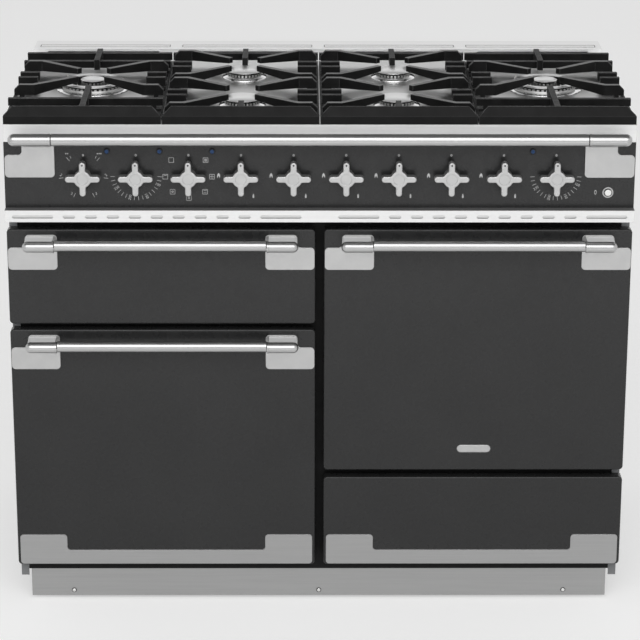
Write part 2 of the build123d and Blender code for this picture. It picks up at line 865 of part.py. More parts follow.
def make_control_body(index):
    """Gas tap or oven control behind the panel, on a collar that seats on the panel's back."""
    x = knob_x(index)
    width, height, depth = control_width, control_height, control_depth
    if index in burner_knobs:
        width, height, depth = tap_width, tap_height, tap_depth
    y0 = front_y + sheet
    y1 = y0 + tap_collar_length
    body = rod_y(x, y0, y1, knob_z, tap_collar_radius)
    body += block(x - width / 2, x + width / 2, y1 - tap_depth, y1 - tap_depth + depth, knob_z - height / 2,
                  knob_z + height / 2)
    return body - rod_y(x, y0 - sheet, y1 + running_gap, knob_z, spindle_radius + running_gap)


def make_gas_rail():
    """Gas pipe behind the taps, with a run to the inlet at the back."""
    pipe_y = front_y + sheet + tap_collar_length + press_gap + gas_pipe_radius
    start = knob_x(burner_knobs[0]) - tap_width
    bend = gas_pipe_bend
    path = FilletPolyline(
        (start, pipe_y, knob_z),
        (gas_inlet_x, pipe_y, knob_z),
        (gas_inlet_x, back_y - gas_inlet_length, knob_z),
        radius=bend,
    )
    pipe = sweep(Plane(origin=path @ 0, z_dir=path % 0) * Circle(gas_pipe_radius), path=path)
    return pipe + rod_y(gas_inlet_x, back_y - gas_inlet_length, back_y, knob_z, gas_inlet_radius)


def make_ignition_switch():
    """Switch behind the button, with a neck through the panel and a bezel ring in front."""
    y0 = front_y + sheet
    half = switch_size / 2
    switch = rod_y(button_x, front_y - bezel_reach, front_y, button_z, bezel_radius)
    switch += rod_y(button_x, front_y, y0, button_z, switch_neck_radius)
    switch += block(button_x - half, button_x + half, y0, y0 + switch_depth, button_z - half, button_z + half)
    bore_end = front_y - button_reach + button_length + button_travel + seat_gap
    return switch - rod_y(button_x, front_y - bezel_reach, bore_end, button_z, button_radius + running_gap)


def make_button():
    """Push button of the igniter."""
    y0 = front_y - button_reach
    button = rod_y(button_x, y0, y0 + button_length, button_z, button_radius)
    return chamfer(button.faces().sort_by(Axis.Y)[0].edges(), button_edge)


burners = [(side * support_width / 2, y, False) for side in (-1, 1) for y in (rear_burner_y, front_burner_y)]
burners += [(side * 3 * support_width / 2, wok_y, True) for side in (-1, 1)]


def make_hob_tray():
    """Stainless hob pressing with folded edges and a hole for each burner."""
    y0 = front_y - hob_overhang
    low = hob_height - hob_skirt
    inner = half_width - sheet
    tray = block(-half_width, half_width, y0, hob_back_y, low, hob_height)
    tray -= block(-inner, inner, y0 + sheet, hob_back_y - sheet, low, hob_height - sheet)
    for x, y, _ in burners:
        tray -= rod_z(x, y, hob_height - sheet, hob_height, burner_hole_radius)
    return tray


def make_vent_trim():
    """Raised vent trim across the back of the hob, slotted on top and in front."""
    half = half_width - vent_trim_edge
    y1 = hob_back_y
    y0 = y1 - vent_trim_depth
    z1 = hob_height + vent_trim_height
    trim = block(-half, half, y0, y1, hob_height, z1)
    trim -= block(-half + sheet, half - sheet, y0 + sheet, y1 - sheet, hob_height, z1 - sheet)
    pitch = body_width / vent_sections
    for index in range(vent_sections):
        x = (index - (vent_sections - 1) / 2) * pitch
        middle = (y0 + y1) / 2 - vent_slot_pitch
        for y in (middle - vent_slot_pitch / 2, middle + vent_slot_pitch / 2):
            top_slot = extrude(SlotOverall(vent_slot_length, vent_slot_width), 3 * sheet)
            trim -= Pos(x, y, z1 - 2 * sheet) * top_slot
        front_slot = extrude(SlotOverall(vent_front_slot_length, vent_slot_width), 3 * sheet)
        trim -= Pos(x, y0 + 2 * sheet, hob_height + vent_trim_height / 2) * Rot(90, 0, 0) * front_slot
    return trim


def make_burner_base(x, y, wok):
    """Burner cup that hangs through the hob on its flange."""
    flange = wok_flange_radius if wok else burner_flange_radius
    base = rod_z(x, y, hob_height, hob_height + burner_flange, flange)
    base += rod_z(x, y, hob_height - burner_cup_depth, hob_height, burner_hole_radius - burner_hole_gap)
    reach = (wok_ring_foot_radius if wok else burner_head_radius) + electrode_offset
    pin_x, pin_y = x - reach * math.sqrt(0.5), y + reach * math.sqrt(0.5)
    top = hob_height + burner_flange
    return base, rod_z(pin_x, pin_y, top, top + electrode_rise, electrode_radius)


def flame_slots(x, y, inner, outer, z):
    """Ring of radial flame slots."""
    slots = []
    for index in range(burner_slots):
        slot = block(inner, outer, -burner_slot_width / 2, burner_slot_width / 2, z, z + burner_slot_height)
        slots.append(Pos(x, y, 0) * Rot(0, 0, index * 360 / burner_slots) * slot)
    return slots


def make_burner_head(x, y, wok):
    """Flame spreader: one crown on a plain burner, a crown inside a ring on a wok burner."""
    z0 = hob_height + burner_flange
    z1 = z0 + burner_head
    slot_z = z1 - burner_slot_height
    if wok:
        rim = wok_ring_radius - burner_crown_inset
        head = Pos(x, y, (z0 + z1) / 2) * Cone(wok_ring_foot_radius, rim, burner_head)
        head -= rod_z(x, y, z0 + wok_web, z1, wok_ring_inner)
        head += rod_z(x, y, z0, z1, wok_core_radius)
        cuts = flame_slots(x, y, rim - flame_slot_depth, wok_ring_foot_radius, slot_z)
        cuts += flame_slots(x, y, wok_core_radius - flame_slot_depth, wok_ring_inner, slot_z)
    else:
        crown = burner_cap_radius - burner_crown_inset
        skirt = burner_head - burner_slot_height
        head = Pos(x, y, z0 + skirt / 2) * Cone(burner_head_radius, burner_head_top_radius, skirt)
        head += rod_z(x, y, slot_z, z1, crown)
        cuts = flame_slots(x, y, crown - flame_slot_depth, burner_cap_radius, slot_z)
    return head - cuts


def make_burner_cap(x, y, wok):
    """Enamelled caps that lie on a flame spreader."""
    z0 = hob_height + burner_flange + burner_head
    if not wok:
        cap = rod_z(x, y, z0, z0 + burner_cap, burner_cap_radius)
        return [fillet(cap.faces().sort_by(Axis.Z)[-1].edges(), burner_cap / 2)]
    z1 = z0 + burner_cap
    ring = rod_z(x, y, z0, z1, wok_ring_radius) - rod_z(x, y, z0, z1, wok_ring_inner)
    core = rod_z(x, y, z0, z0 + 2 * burner_cap, wok_cap_radius)
    return [ring, fillet(core.faces().sort_by(Axis.Z)[-1].edges(), burner_cap / 2)]


def bar_between(start, end, start_depth, end_depth, top):
    """A flat-topped cast bar between two plan points, whose underside rises from one depth to the other."""
    dx = end[0] - start[0]
    dy = end[1] - start[1]
    length = math.hypot(dx, dy)
    side = Polyline([(0, 0), (length, 0), (length, -end_depth), (0, -start_depth)], close=True)
    bar = Rot(90, 0, 0) * extrude(make_face(side), finger_width / 2, both=True)
    return Pos(start[0], start[1], top) * Rot(0, 0, math.degrees(math.atan2(dy, dx))) * bar


def make_finger(centre_x, side, root_y, tip_y):
    """A bent finger: a straight root at the side and a taper towards the burner."""
    top = hob_height + support_height
    root_x = support_width / 2 - finger_end_gap
    outer = (centre_x + side * root_x, root_y)
    bend = (centre_x + side * (root_x - finger_straight), root_y)
    tip = (centre_x + side * finger_tip_x, tip_y)
    root = bar_between(outer, bend, finger_depth, finger_depth, top)
    size = finger_end_chamfer * math.sqrt(2)
    cut = Pos(*outer, top) * Rot(0, 45, 0) * Box(size, 2 * finger_width, size)
    taper = bar_between(bend, tip, finger_depth, finger_tip_depth, top)
    joint = rod_z(*bend, top - finger_depth, top, finger_width / 2)
    return root - cut + joint + taper + make_support_foot(centre_x, side, root_y)


def make_support_foot(centre_x, side, y):
    """Foot under a finger's root, with a web out to the side rail."""
    edge = centre_x + side * (support_width / 2 - support_seam / 2)
    foot_x0 = centre_x + side * (support_width / 2 - support_foot_inset)
    low = hob_height + seat_gap
    x0, x1 = sorted((edge, foot_x0))
    web = block(x0, x1, y - finger_width / 2, y + finger_width / 2, low, low + side_rail_height)
    p0, p1 = sorted((foot_x0, foot_x0 + side * support_foot))
    return web + block(p0, p1, y - finger_width / 2, y + finger_width / 2, low,
                       hob_height + support_height - finger_depth + casting_overlap)


def make_stub(centre_x, side, y):
    """A short straight finger at the side."""
    top = hob_height + support_height
    root_x = centre_x + side * (support_width / 2 - finger_end_gap)
    stub = bar_between((root_x, y), (root_x - side * stub_length, y), finger_depth - stub_drop,
                       finger_depth - stub_drop, top - stub_drop)
    return stub + make_support_foot(centre_x, side, y)


def make_front_beam(centre_x):
    """Front beam with a sloped upper face and cut corners."""
    half = support_width / 2 - support_seam / 2
    low = hob_height + seat_gap
    top = hob_height + support_height
    profile = Polyline(
        [
            (support_front_y, low),
            (support_front_y + beam_depth, low),
            (support_front_y + beam_depth, top),
            (support_front_y + beam_depth - beam_crest, top),
            (support_front_y, low + beam_face),
        ],
        close=True,
    )
    beam = Pos(centre_x - half, 0, 0) * extrude(Plane.YZ * make_face(profile), 2 * half)
    for side in (-1, 1):
        size = (top - low - beam_face) * math.sqrt(2)
        corner = Rot(0, 45, 0) * Box(size, 4 * beam_depth, size)
        beam -= Pos(centre_x + side * half, support_front_y, top) * corner
    return beam


def make_support(centre_x, centres, cross_ys, front_gap, rear_gap):
    """A cast-iron pan support round the burner centres, tied by low side rails."""
    half = support_width / 2 - support_seam / 2
    low = hob_height + seat_gap
    top = hob_height + support_height
    casting = make_front_beam(centre_x)
    for side in (-1, 1):
        r0, r1 = sorted((centre_x + side * half, centre_x + side * (half - side_rail)))
        casting += block(r0, r1, support_front_y, support_back_y, low, low + side_rail_height)
        for y in centres:
            for toward in (-1, 1):
                root_y = y + toward * finger_spread_y
                casting += make_finger(centre_x, side, root_y, y + toward * finger_tip_y)
                casting += make_stub(centre_x, side, y + toward * stub_spread)
    for y in cross_ys:
        left = (centre_x - half, y)
        right = (centre_x + half, y)
        casting += bar_between(left, right, finger_depth - bar_drop, finger_depth - bar_drop, top - bar_drop)
        casting += make_support_foot(centre_x, -1, y) + make_support_foot(centre_x, 1, y)
    front_root = (centre_x, support_front_y + beam_depth - casting_overlap)
    front_tip = (centre_x, min(centres) - front_gap)
    rear_root = (centre_x, support_back_y)
    rear_tip = (centre_x, max(centres) + rear_gap)
    for root, tip in ((front_root, front_tip), (rear_root, rear_tip)):
        casting += bar_between(root, tip, finger_depth, finger_depth, top)
    return casting


def make_plinth():
    """Stainless plinth hung under the base, with three screw holes."""
    y0 = front_y + plinth_inset
    half = plinth_half_width
    plinth = block(-half, half, y0, y0 + sheet, plinth_clearance, base_level)
    for x in (-plinth_screw_x, 0, plinth_screw_x):
        plinth -= rod_y(x, y0 - sheet, y0 + 2 * sheet, plinth_screw_z, screw_shank_radius + press_gap)
    return plinth


def make_plinth_screw(x):
    """Dome-headed screw of the plinth."""
    y0 = front_y + plinth_inset
    head = rod_y(x, y0 - screw_head_height, y0, plinth_screw_z, screw_head_radius)
    head = fillet(head.faces().sort_by(Axis.Y)[0].edges(), screw_head_round)
    return head + rod_y(x, y0, y0 + screw_length, plinth_screw_z, screw_shank_radius)


def make_foot(x):
    """Screw foot: pad, stem and lock nut under the base."""
    y = front_y + foot_inset
    foot = rod_z(x, y, 0, foot_pad, foot_radius)
    foot = fillet(foot.faces().sort_by(Axis.Z)[-1].edges(), foot_round)
    foot += rod_z(x, y, foot_pad, base_top + foot_thread_above, foot_stem_radius)
    nut_top = base_level - seat_gap
    nut = extrude(RegularPolygon(foot_nut_radius, 6), foot_nut_height)
    return foot + Pos(x, y, nut_top - foot_nut_height) * nut


def make_roller(x):
    """Rear roller on its axle."""
    y = back_y - roller_inset
    half = roller_width / 2
    roller = rod_x(x - half, x + half, y, roller_radius, roller_radius)
    return roller - rod_x(x - half, x + half, y, roller_radius, shaft_radius + running_gap)


os.makedirs("parts", exist_ok=True)

left_oven = oven_opening(left_door_x, left_door_bottom)
right_oven = oven_opening(right_door_x, right_door_bottom)
grill = grill_opening()

# Casing
save("base_frame", make_base_frame())
save("side_panels", make_side_panel(-1), make_side_panel(1))
save("rear_panel", make_rear_panel(), make_terminal_cover())
save("front_frame", make_front_frame())
save("hinge_pins", *make_hinge_pins())
save("plinth", make_plinth())
save("plinth_screws", *[make_plinth_screw(x) for x in (-plinth_screw_x, 0, plinth_screw_x)])
save("left_front_foot", make_foot(-foot_x))
save("right_front_foot", make_foot(foot_x))
save("left_rear_roller", make_roller(-foot_x))
save("right_rear_roller", make_roller(foot_x))

# Chambers
save("left_oven_chamber", make_oven_chamber(left_oven))
save("right_oven_chamber", make_oven_chamber(right_oven))
save("grill_chamber", make_chamber(grill, grill_chamber_depth, (grill_rib_level,)))
save("door_seals", make_seal(left_oven), make_seal(right_oven), make_seal(grill))
shelves = [make_shelf(oven, rib_levels[rib]) for oven in (left_oven, right_oven) for rib in shelf_ribs]
save("oven_shelves", *shelves)
save("grill_pan", make_grill_pan())
save("heating_elements", make_ring_element(left_oven), make_ring_element(right_oven), make_grill_element())
save("left_oven_fan", make_fan(left_oven))
save("right_oven_fan", make_fan(right_oven))
save("fan_motors", make_fan_motor(left_oven), make_fan_motor(right_oven))

# Doors and drawer
doors = (
    ("grill_door", left_door_x, grill_door_bottom, door_top, grill),
    ("left_oven_door", left_door_x, left_door_bottom, left_door_top, left_oven),
    ("right_oven_door", right_door_x, right_door_bottom, door_top, right_oven),
)
for name, centre_x, bottom, top, opening in doors:
    save(name + "_panel", make_door_panel(centre_x, bottom, top, True))
    save(name + "_liner", make_door_liner(centre_x, bottom, top, opening))
    save(name + "_handle", *make_door_handle(centre_x, top))
save("left_oven_door_trim", make_trim(left_door_x, left_door_bottom))
save("drawer_front", make_door_panel(right_door_x, drawer_bottom, drawer_top, False))
save("drawer_trim", make_trim(right_door_x, drawer_bottom))
save("drawer_box", make_drawer_box())
save("drawer_runners", make_drawer_runner(-1), make_drawer_runner(1))

# Control panel
knob_names = ["grill_knob", "left_oven_heat_knob", "left_oven_mode_knob"]
knob_names += [f"burner_knob_{number}" for number in range(1, len(burner_knobs) + 1)]
knob_names.append("right_oven_heat_knob")
save("control_panel", make_control_panel())
save("vent_strip", make_vent_strip())
save("hand_rail", *make_hand_rail())
for index, name in enumerate(knob_names):
    save(name, *make_knob(index))
control_bodies = [make_control_body(index) for index in range(knob_count)]
save("gas_rail_and_controls", make_gas_rail(), make_ignition_switch(), *control_bodies)
save("indicator_lamps", *[make_lamp(x) for x in lamp_xs])
save("ignition_button", make_button())

# Hob
save("hob_tray", make_hob_tray())
save("rear_vent_trim", make_vent_trim())
save("burner_bases", *[piece for burner in burners for piece in make_burner_base(*burner)])
save("burner_heads", *[make_burner_head(*burner) for burner in burners])
save("burner_caps", *[piece for burner in burners for piece in make_burner_cap(*burner)])
wok_bars = (wok_front_bar_y, wok_rear_bar_y, rear_bar_y)
plain_centres = (rear_burner_y, front_burner_y)
for side, word in ((-1, "left"), (1, "right")):
    outer_x = side * 3 * support_width / 2
    inner_x = side * support_width / 2
    outer = make_support(outer_x, (wok_y,), wok_bars, wok_finger_gap, wok_finger_gap)
    inner = make_support(inner_x, plain_centres, (rear_bar_y,), front_finger_gap, rear_finger_gap)
    save(f"{word}_outer_pan_support", outer)
    save(f"{word}_inner_pan_support", inner)
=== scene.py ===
import json
import math

import bmesh
import bpy
from mathutils import Matrix, Vector


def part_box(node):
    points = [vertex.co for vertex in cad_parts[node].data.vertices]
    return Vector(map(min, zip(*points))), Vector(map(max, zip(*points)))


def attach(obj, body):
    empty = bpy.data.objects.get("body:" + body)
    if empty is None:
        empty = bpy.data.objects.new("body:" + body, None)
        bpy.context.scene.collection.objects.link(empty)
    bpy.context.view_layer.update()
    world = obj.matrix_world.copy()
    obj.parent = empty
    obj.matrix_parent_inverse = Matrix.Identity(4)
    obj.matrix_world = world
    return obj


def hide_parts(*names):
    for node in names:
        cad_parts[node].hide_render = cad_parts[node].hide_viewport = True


# Finishes and small details of a dual fuel range cooker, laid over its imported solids. Metres.
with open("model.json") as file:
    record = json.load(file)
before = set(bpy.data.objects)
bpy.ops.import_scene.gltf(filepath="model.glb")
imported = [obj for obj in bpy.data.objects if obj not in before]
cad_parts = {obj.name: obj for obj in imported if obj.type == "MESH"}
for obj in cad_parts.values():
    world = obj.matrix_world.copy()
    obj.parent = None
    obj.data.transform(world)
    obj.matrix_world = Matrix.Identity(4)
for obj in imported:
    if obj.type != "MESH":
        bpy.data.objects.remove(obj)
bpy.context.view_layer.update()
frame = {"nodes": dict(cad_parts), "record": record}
scene = bpy.context.scene

# Camera, fitted to the photograph
IMAGE_WIDTH = 640
SENSOR = 36.0
FOCAL_PIXELS = 2649.7
CAMERA_PLACE = (-0.0324, -4.7108, 2.0383)
CAMERA_PITCH = 0.3242
CAMERA_YAW = 0.0075
CAMERA_ROLL = 0.0025

# Studio
FLOOR_SIZE = 60.0
FLOOR_COLOUR = (0.62, 0.62, 0.618)
FLOOR_CLOUD = 0.985
FLOOR_GLOW = 0.46
WORLD_COLOUR = (0.88, 0.88, 0.88)
WORLD_OVERHEAD = 0.18
WORLD_BAND = (0.45, 0.75)
# Softboxes, as name, place, target, size, power and the angle of their beam
FRONT = ("front", (0.0, -4.0, 3.5), (0.0, -0.3, 0.7), (6.0, 3.2), 48.0, 100.0)
APRON = ("apron", (0.0, -3.4, 2.9), (0.0, -3.4, 0.0), (4.0, 1.4), 30.0, 80.0)

# Direction the cooker faces
FORWARD = (0, -1, 0)

# A face counts as facing a way when its normal has this share along it
FACING_UP = 0.9
HALF_UP = 0.5
FACING_FRONT = 0.7
LEANING_UP = 0.2

# Edges of added pieces that turn by more than this stay sharp
SHARP_ANGLE = math.radians(40)

# Handles and the bodies they ride on, the knobs, the radius of the beads at the handles' ferrules,
# how far the beads stand over the bars, and the slack in telling faces of a bar from others
HANDLES = {
    "hand_rail": "body",
    "grill_door_handle": "grill_door",
    "left_oven_door_handle": "left_oven_door",
    "right_oven_door_handle": "right_oven_door",
}
KNOBS = [name for name in frame["nodes"] if "knob" in name]
RAIL_BEAD = 0.0112
HANDLE_BEAD = 0.0102
BEAD_RISE = 0.0022
BEAD_SLACK = 0.0002

# Burners, as turned profiles of (radius, height above the hob), and rings of teeth as
# (count, inner radius, outer radius, foot, top)
PLAIN_BURNER = {
    "lids": [[(0.0, 0.0165), (0.0332, 0.0165), (0.0340, 0.0159), (0.0340, 0.0149), (0.0300, 0.0140),
              (0.0, 0.0140)]],
    "necks": [[(0.0285, 0.0142), (0.0285, 0.0080), (0.0324, 0.0080)]],
    "walls": [],
    "skirts": [[(0.0324, 0.0082), (0.0336, 0.0080), (0.0404, 0.0049), (0.0416, 0.0039), (0.0418, 0.0032),
                (0.0412, 0.0026), (0.0388, 0.0022), (0.0380, 0.0017), (0.0380, 0.0009), (0.0396, 0.0)]],
    "teeth": [(30, 0.0284, 0.0320, 0.0080, 0.0114)],
}
WOK_BURNER = {
    "lids": [[(0.0, 0.0180), (0.0212, 0.0180), (0.0220, 0.0174), (0.0220, 0.0168), (0.0195, 0.0162),
              (0.0, 0.0162)],
             [(0.0450, 0.0126), (0.0435, 0.0132), (0.0435, 0.0140), (0.0441, 0.0145), (0.0568, 0.0145),
              (0.0575, 0.0140), (0.0575, 0.0132), (0.0540, 0.0126), (0.0450, 0.0126)]],
    "necks": [[(0.0180, 0.0164), (0.0180, 0.0100), (0.0216, 0.0100)],
              [(0.0218, 0.0040), (0.0460, 0.0040), (0.0460, 0.0128)],
              [(0.0510, 0.0128), (0.0510, 0.0070), (0.0546, 0.0070)]],
    "walls": [[(0.0216, 0.0100), (0.0218, 0.0040)],
              [(0.0546, 0.0070), (0.0556, 0.0034)]],
    "skirts": [[(0.0556, 0.0036), (0.0570, 0.0034), (0.0645, 0.0026), (0.0664, 0.0019), (0.0668, 0.0012),
                (0.0664, 0.0006), (0.0655, 0.0)]],
    "teeth": [(18, 0.0179, 0.0213, 0.0100, 0.0132), (40, 0.0509, 0.0542, 0.0070, 0.0096)],
}
# Burners with wider caps than this are wok burners
WOK_WIDTH = 0.08
# The rear plain burners stand forward by this, clear of the finger behind them
REAR_STEP = 0.0046
POST = [(0.0026, 0.0), (0.0026, 0.0085), (0.0018, 0.0092), (0.0009, 0.0092), (0.0009, 0.0125),
        (0.0, 0.0128)]
# Where posts stand round a burner, as (radius, angle in degrees)
PLAIN_POSTS = ((0.0450, 135),)
WOK_POSTS = ((0.0700, 135), (0.0330, -35), (0.0330, 215))

# Pan supports, the depth of their front beams, the half width of their fingers and the band under
# their tops that counts as the crest, whose flat tops get a paler paint as a painted highlight
SUPPORTS = [side + place + "_pan_support" for side in ("left_", "right_") for place in ("outer", "inner")]
FRONT_BEAM = 0.03
FINGER_HALF = 0.006
CREST_BAND = 0.001

# Lamp rims, the button's gasket and the dark ring round each plinth screw (painted shade round the head),
# as inner and outer radius and how far they stand out, and the share of their width that is softened at
# each edge
LAMP_RIM = (0.0036, 0.0054, 0.0029)
GASKET = (0.0064, 0.0074, 0.0006)
SCREW_SHADE_RING = (0.0030, 0.0046, 0.0004)
COLLAR_SOFT = 0.22

# Solids of one node count as apart when this far from each other
APART = 0.03

# Sleeve over each bar between its ferrules, and the groove left at both ends, its floor painted dark as
# shade
SLEEVE_STEP = 0.0005
SLEEVE_SOFT = 0.0006
GROOVE_WIDTH = 0.0011
GROOVE_RISE = 0.0001

# Sheet behind the vent strip's slots: its gap to the strip's ends and edges, and its two depths
STRIP_SHEET = 0.0015
LINING_END = 0.004
LINING_EDGE = STRIP_SHEET + 0.001
LINING_DEPTHS = (STRIP_SHEET + 0.0012, STRIP_SHEET + 0.0020)

# Screws on the back and sides, with the dome and the slots as shares of radius and height
SCREW_RADIUS = 0.0042
SCREW_HEIGHT = 0.0015
SCREW_INSET = 0.012
SCREW_DOME = ((0.0, 1.0), (0.5, 0.93), (0.85, 0.6), (1.0, 0.2), (1.0, 0.0))
SCREW_SLOT = (1.0, 0.25, 0.2)
SCREW_SLOT_LIFT = 0.9
BACK_SCREWS = (8, 6)
SIDE_SCREWS = 6

# Louvres pressed in the rear panel, each with a dark sheet in its mouth below as painted shade
LOUVRE_COLUMNS = (-0.27, 0.27)
LOUVRES = 6
LOUVRE_PITCH = 0.018
LOUVRE_TOP = 0.80
LOUVRE_WIDTH = 0.11
LOUVRE_RISE = 0.004
LOUVRE_HEIGHT = 0.009
LOUVRE_STEPS = 8
MOUTH_DROP = 0.0015
MOUTH_LIP = 0.0003
MOUTH_REACH = 0.8 * LOUVRE_RISE
MOUTH_INSET = 0.002

# Dark outlines round grooves along the rear vent trim's top, painted shade of the grooves; the trim is not
# cut
VENT_GROOVES = 4
VENT_GROOVE_WIDTH = 0.017
VENT_GROOVE_INSET = 0.018
VENT_GROOVE_GAP = 0.024
VENT_GROOVE_LINE = 0.0012

# Blank plate on the right oven door
PLATE_WIDTH = 0.060
PLATE_HEIGHT = 0.014
PLATE_THICKNESS = 0.0012
PLATE_STEP = 0.0008
PLATE_SOFT = 0.0012
PLATE_TURNS = 12
PLATE_RISE = 0.0415

# Dial prints on the control panel: angles run clockwise from the top, in degrees
PRINT_DEPTH = 0.00015
STROKE = 0.0007
OFF_RADIUS = 0.0363
OFF_SIZE = 0.0018
OFF_HOLE = 0.45 * OFF_SIZE
OFF_STRETCH = 1.2
HEAT_FIRST = 93
HEAT_STEP = 10.25
HEAT_TICKS = 18
HEAT_NUMBERS = {2: "100", 6: "150", 10: "200", 14: "230"}
HEAT_INNER = 0.0370
HEAT_OUTER = 0.0445
HEAT_TEXT = 0.0066
GRILL_MARKS = {42: "1", 97: "2", 155: "3"}
GRILL_INNER = 0.0350
GRILL_OUTER = 0.0430
GRILL_TEXT = 0.0068
GRILL_TEXT_RADIUS = 0.0390
GRILL_TEXT_TURN = 8
GRILL_TEXT_TILT = 0.5
# Squares for half and full width, as counts on each side, and their place from the knob
WIDTH_SQUARES = {-1: 2, 1: 3}
SQUARE_X = 0.028
SQUARE_Z = 0.039
SQUARE_PITCH = 0.0031
SQUARE_HALF = 0.00105
MODE_ANGLES = (-136, -93, -47, 47, 93, 136, 180)
MODE_RADIUS = 0.0405
MODE_ICON = 0.0084
# Bars and ring inside the mode signs, as shares of half a sign
MODE_REACH = 0.62
MODE_PAIR = (-0.45, 0.45)
MODE_SINGLE = (0.5,)
MODE_RING = (0.22, 0.45)
# Flame signs, as (angle, radius, height, half width, height of the notch in the foot)
FLAMES = ((-90, 0.039, 0.0092, 0.0027, 0.0044), (150, 0.042, 0.0078, 0.0015, 0.0))
FLAME_STEPS = 12
FLAME_BLUNT = 0.8
FLAME_FOOT = 0.8
FLAME_BELLY = 0.9
# The oval sign beside the ignition button
SIGN_OFFSET = 0.0215
SIGN_RADII = (0.0013, 0.0020)
SIGN_STRETCH = 2.1
# Pointer dots on the knobs
DOT_RADIUS = 0.0015
DOT_FLAT = 0.7 * DOT_RADIUS
DOT_RISE = 0.0003
DOT_INSET = 0.0050


def node(material, kind, inputs=None, **settings):
    """Add one node to a material or a world; an input is a socket to link or a value to set."""
    made = material.node_tree.nodes.new(kind)
    for name, value in settings.items():
        setattr(made, name, value)
    for name, value in (inputs or {}).items():
        if isinstance(value, bpy.types.NodeSocket):
            material.node_tree.links.new(value, made.inputs[name])
        else:
            made.inputs[name].default_value = value
    return made


def shader_of(material):
    """The material's main shader."""
    return material.node_tree.nodes["Principled BSDF"]


def start_material(name, values=None):
    """A new material with fixed values set on its shader's sockets."""
    material = bpy.data.materials.new(name)
    material.use_nodes = True
    for socket, value in (values or {}).items():
        shader_of(material).inputs[socket].default_value = value
    return material


def feed(material, name, socket):
    """Link a socket to one of the main shader's inputs."""
    material.node_tree.links.new(socket, shader_of(material).inputs[name])


def noise(material, scale, detail=2.0, stretch=(1.0, 1.0, 1.0)):
    """Noise in the piece's own coordinates, scale in turns per metre."""
    place = node(material, "ShaderNodeTexCoord").outputs["Object"]
    mapped = node(material, "ShaderNodeMapping", {"Vector": place, "Scale": stretch}).outputs["Vector"]
    made = node(material, "ShaderNodeTexNoise", {"Vector": mapped, "Scale": scale, "Detail": detail})
    return made.outputs["Fac"]


def rescale(material, value, low, high, start=0.3, end=0.7):
    """A value moved from one range to another."""
    limits = {"Value": value, "From Min": start, "From Max": end, "To Min": low, "To Max": high}
    return node(material, "ShaderNodeMapRange", limits).outputs["Result"]


def blend_colours(material, value, first, second, start=0.3, end=0.7):
    """A colour between two, by a value."""
    share = rescale(material, value, 0.0, 1.0, start, end)
    made = node(material, "ShaderNodeMix", data_type="RGBA")
    material.node_tree.links.new(share, made.inputs[0])
    for socket, colour in ((6, first), (7, second)):
        if isinstance(colour, bpy.types.NodeSocket):
            material.node_tree.links.new(colour, made.inputs[socket])
        else:
            made.inputs[socket].default_value = (*colour, 1.0)
    return made.outputs[2]


def edge_normal(material, radius):
    """Normals rounded over sharp edges."""
    return node(material, "ShaderNodeBevel", {"Radius": radius}, samples=4).outputs["Normal"]


def edge_mask(material, rounded):
    """1 on sharp edges, 0 on flat faces."""
    flat = node(material, "ShaderNodeNewGeometry").outputs["Normal"]
    dot = node(material, "ShaderNodeVectorMath", operation="DOT_PRODUCT")
    material.node_tree.links.new(rounded, dot.inputs[0])
    material.node_tree.links.new(flat, dot.inputs[1])
    return rescale(material, dot.outputs["Value"], 1.0, 0.0, 0.75, 0.99)


def bump(material, height, distance, strength=1.0, normal=None):
    """Feed a height to the main shader's normal."""
    inputs = {"Height": height, "Distance": distance, "Strength": strength}
    if normal is not None:
        inputs["Normal"] = normal
    feed(material, "Normal", node(material, "ShaderNodeBump", inputs).outputs["Normal"])


def roughen(material, value, low, high):
    """Let the main shader's roughness wander between two values."""
    feed(material, "Roughness", rescale(material, value, low, high))


def painted(name, dark, light, roughness, wear_and_highlight_colour, specular=0.4):
    """Sprayed paint: faint clouding, orange peel, and paler edges that are partly wear and partly a painted
    highlight.
    """
    material = start_material(name, {"Specular IOR Level": specular})
    cloud = blend_colours(material, noise(material, 7.0, 4.0), dark, light)
    rounded = edge_normal(material, 0.001)
    # Sharp edges are lightened, partly as wear and partly as a painted highlight
    wear_and_highlight = edge_mask(material, rounded)
    feed(material, "Base Color", blend_colours(material, wear_and_highlight, cloud, wear_and_highlight_colour, 0.1, 1.0))
    roughen(material, noise(material, 60.0, 3.0), roughness - 0.05, roughness + 0.05)
    bump(material, noise(material, 700.0, 2.0), 0.00006, 0.35, rounded)
    return material


def brushed(name, dark, light, roughness, along, edge_radius=0.0007):
    """Metal with brush lines along one axis (0, 1 or 2)."""
    material = start_material(name, {"Metallic": 1.0})
    stretch = [1.0, 1.0, 1.0]
    stretch[along] = 0.02
    streaks = noise(material, 420.0, 4.0, stretch)
    lines = noise(material, 2600.0, 2.0, stretch)
    feed(material, "Base Color", blend_colours(material, streaks, dark, light))
    roughen(material, streaks, roughness - 0.04, roughness + 0.05)
    bump(material, lines, 0.00001, 0.25, edge_normal(material, edge_radius))
    return material


def satin(name, dark, light, roughness, edge_radius=0.0007):
    """Bead-blasted or plated metal with a fine even grain."""
    material = start_material(name, {"Metallic": 1.0})
    cloud = noise(material, 35.0, 3.0)
    feed(material, "Base Color", blend_colours(material, cloud, dark, light))
    roughen(material, noise(material, 160.0, 3.0), roughness - 0.04, roughness + 0.04)
    bump(material, noise(material, 3200.0, 2.0), 0.000012, 0.4, edge_normal(material, edge_radius))
    return material


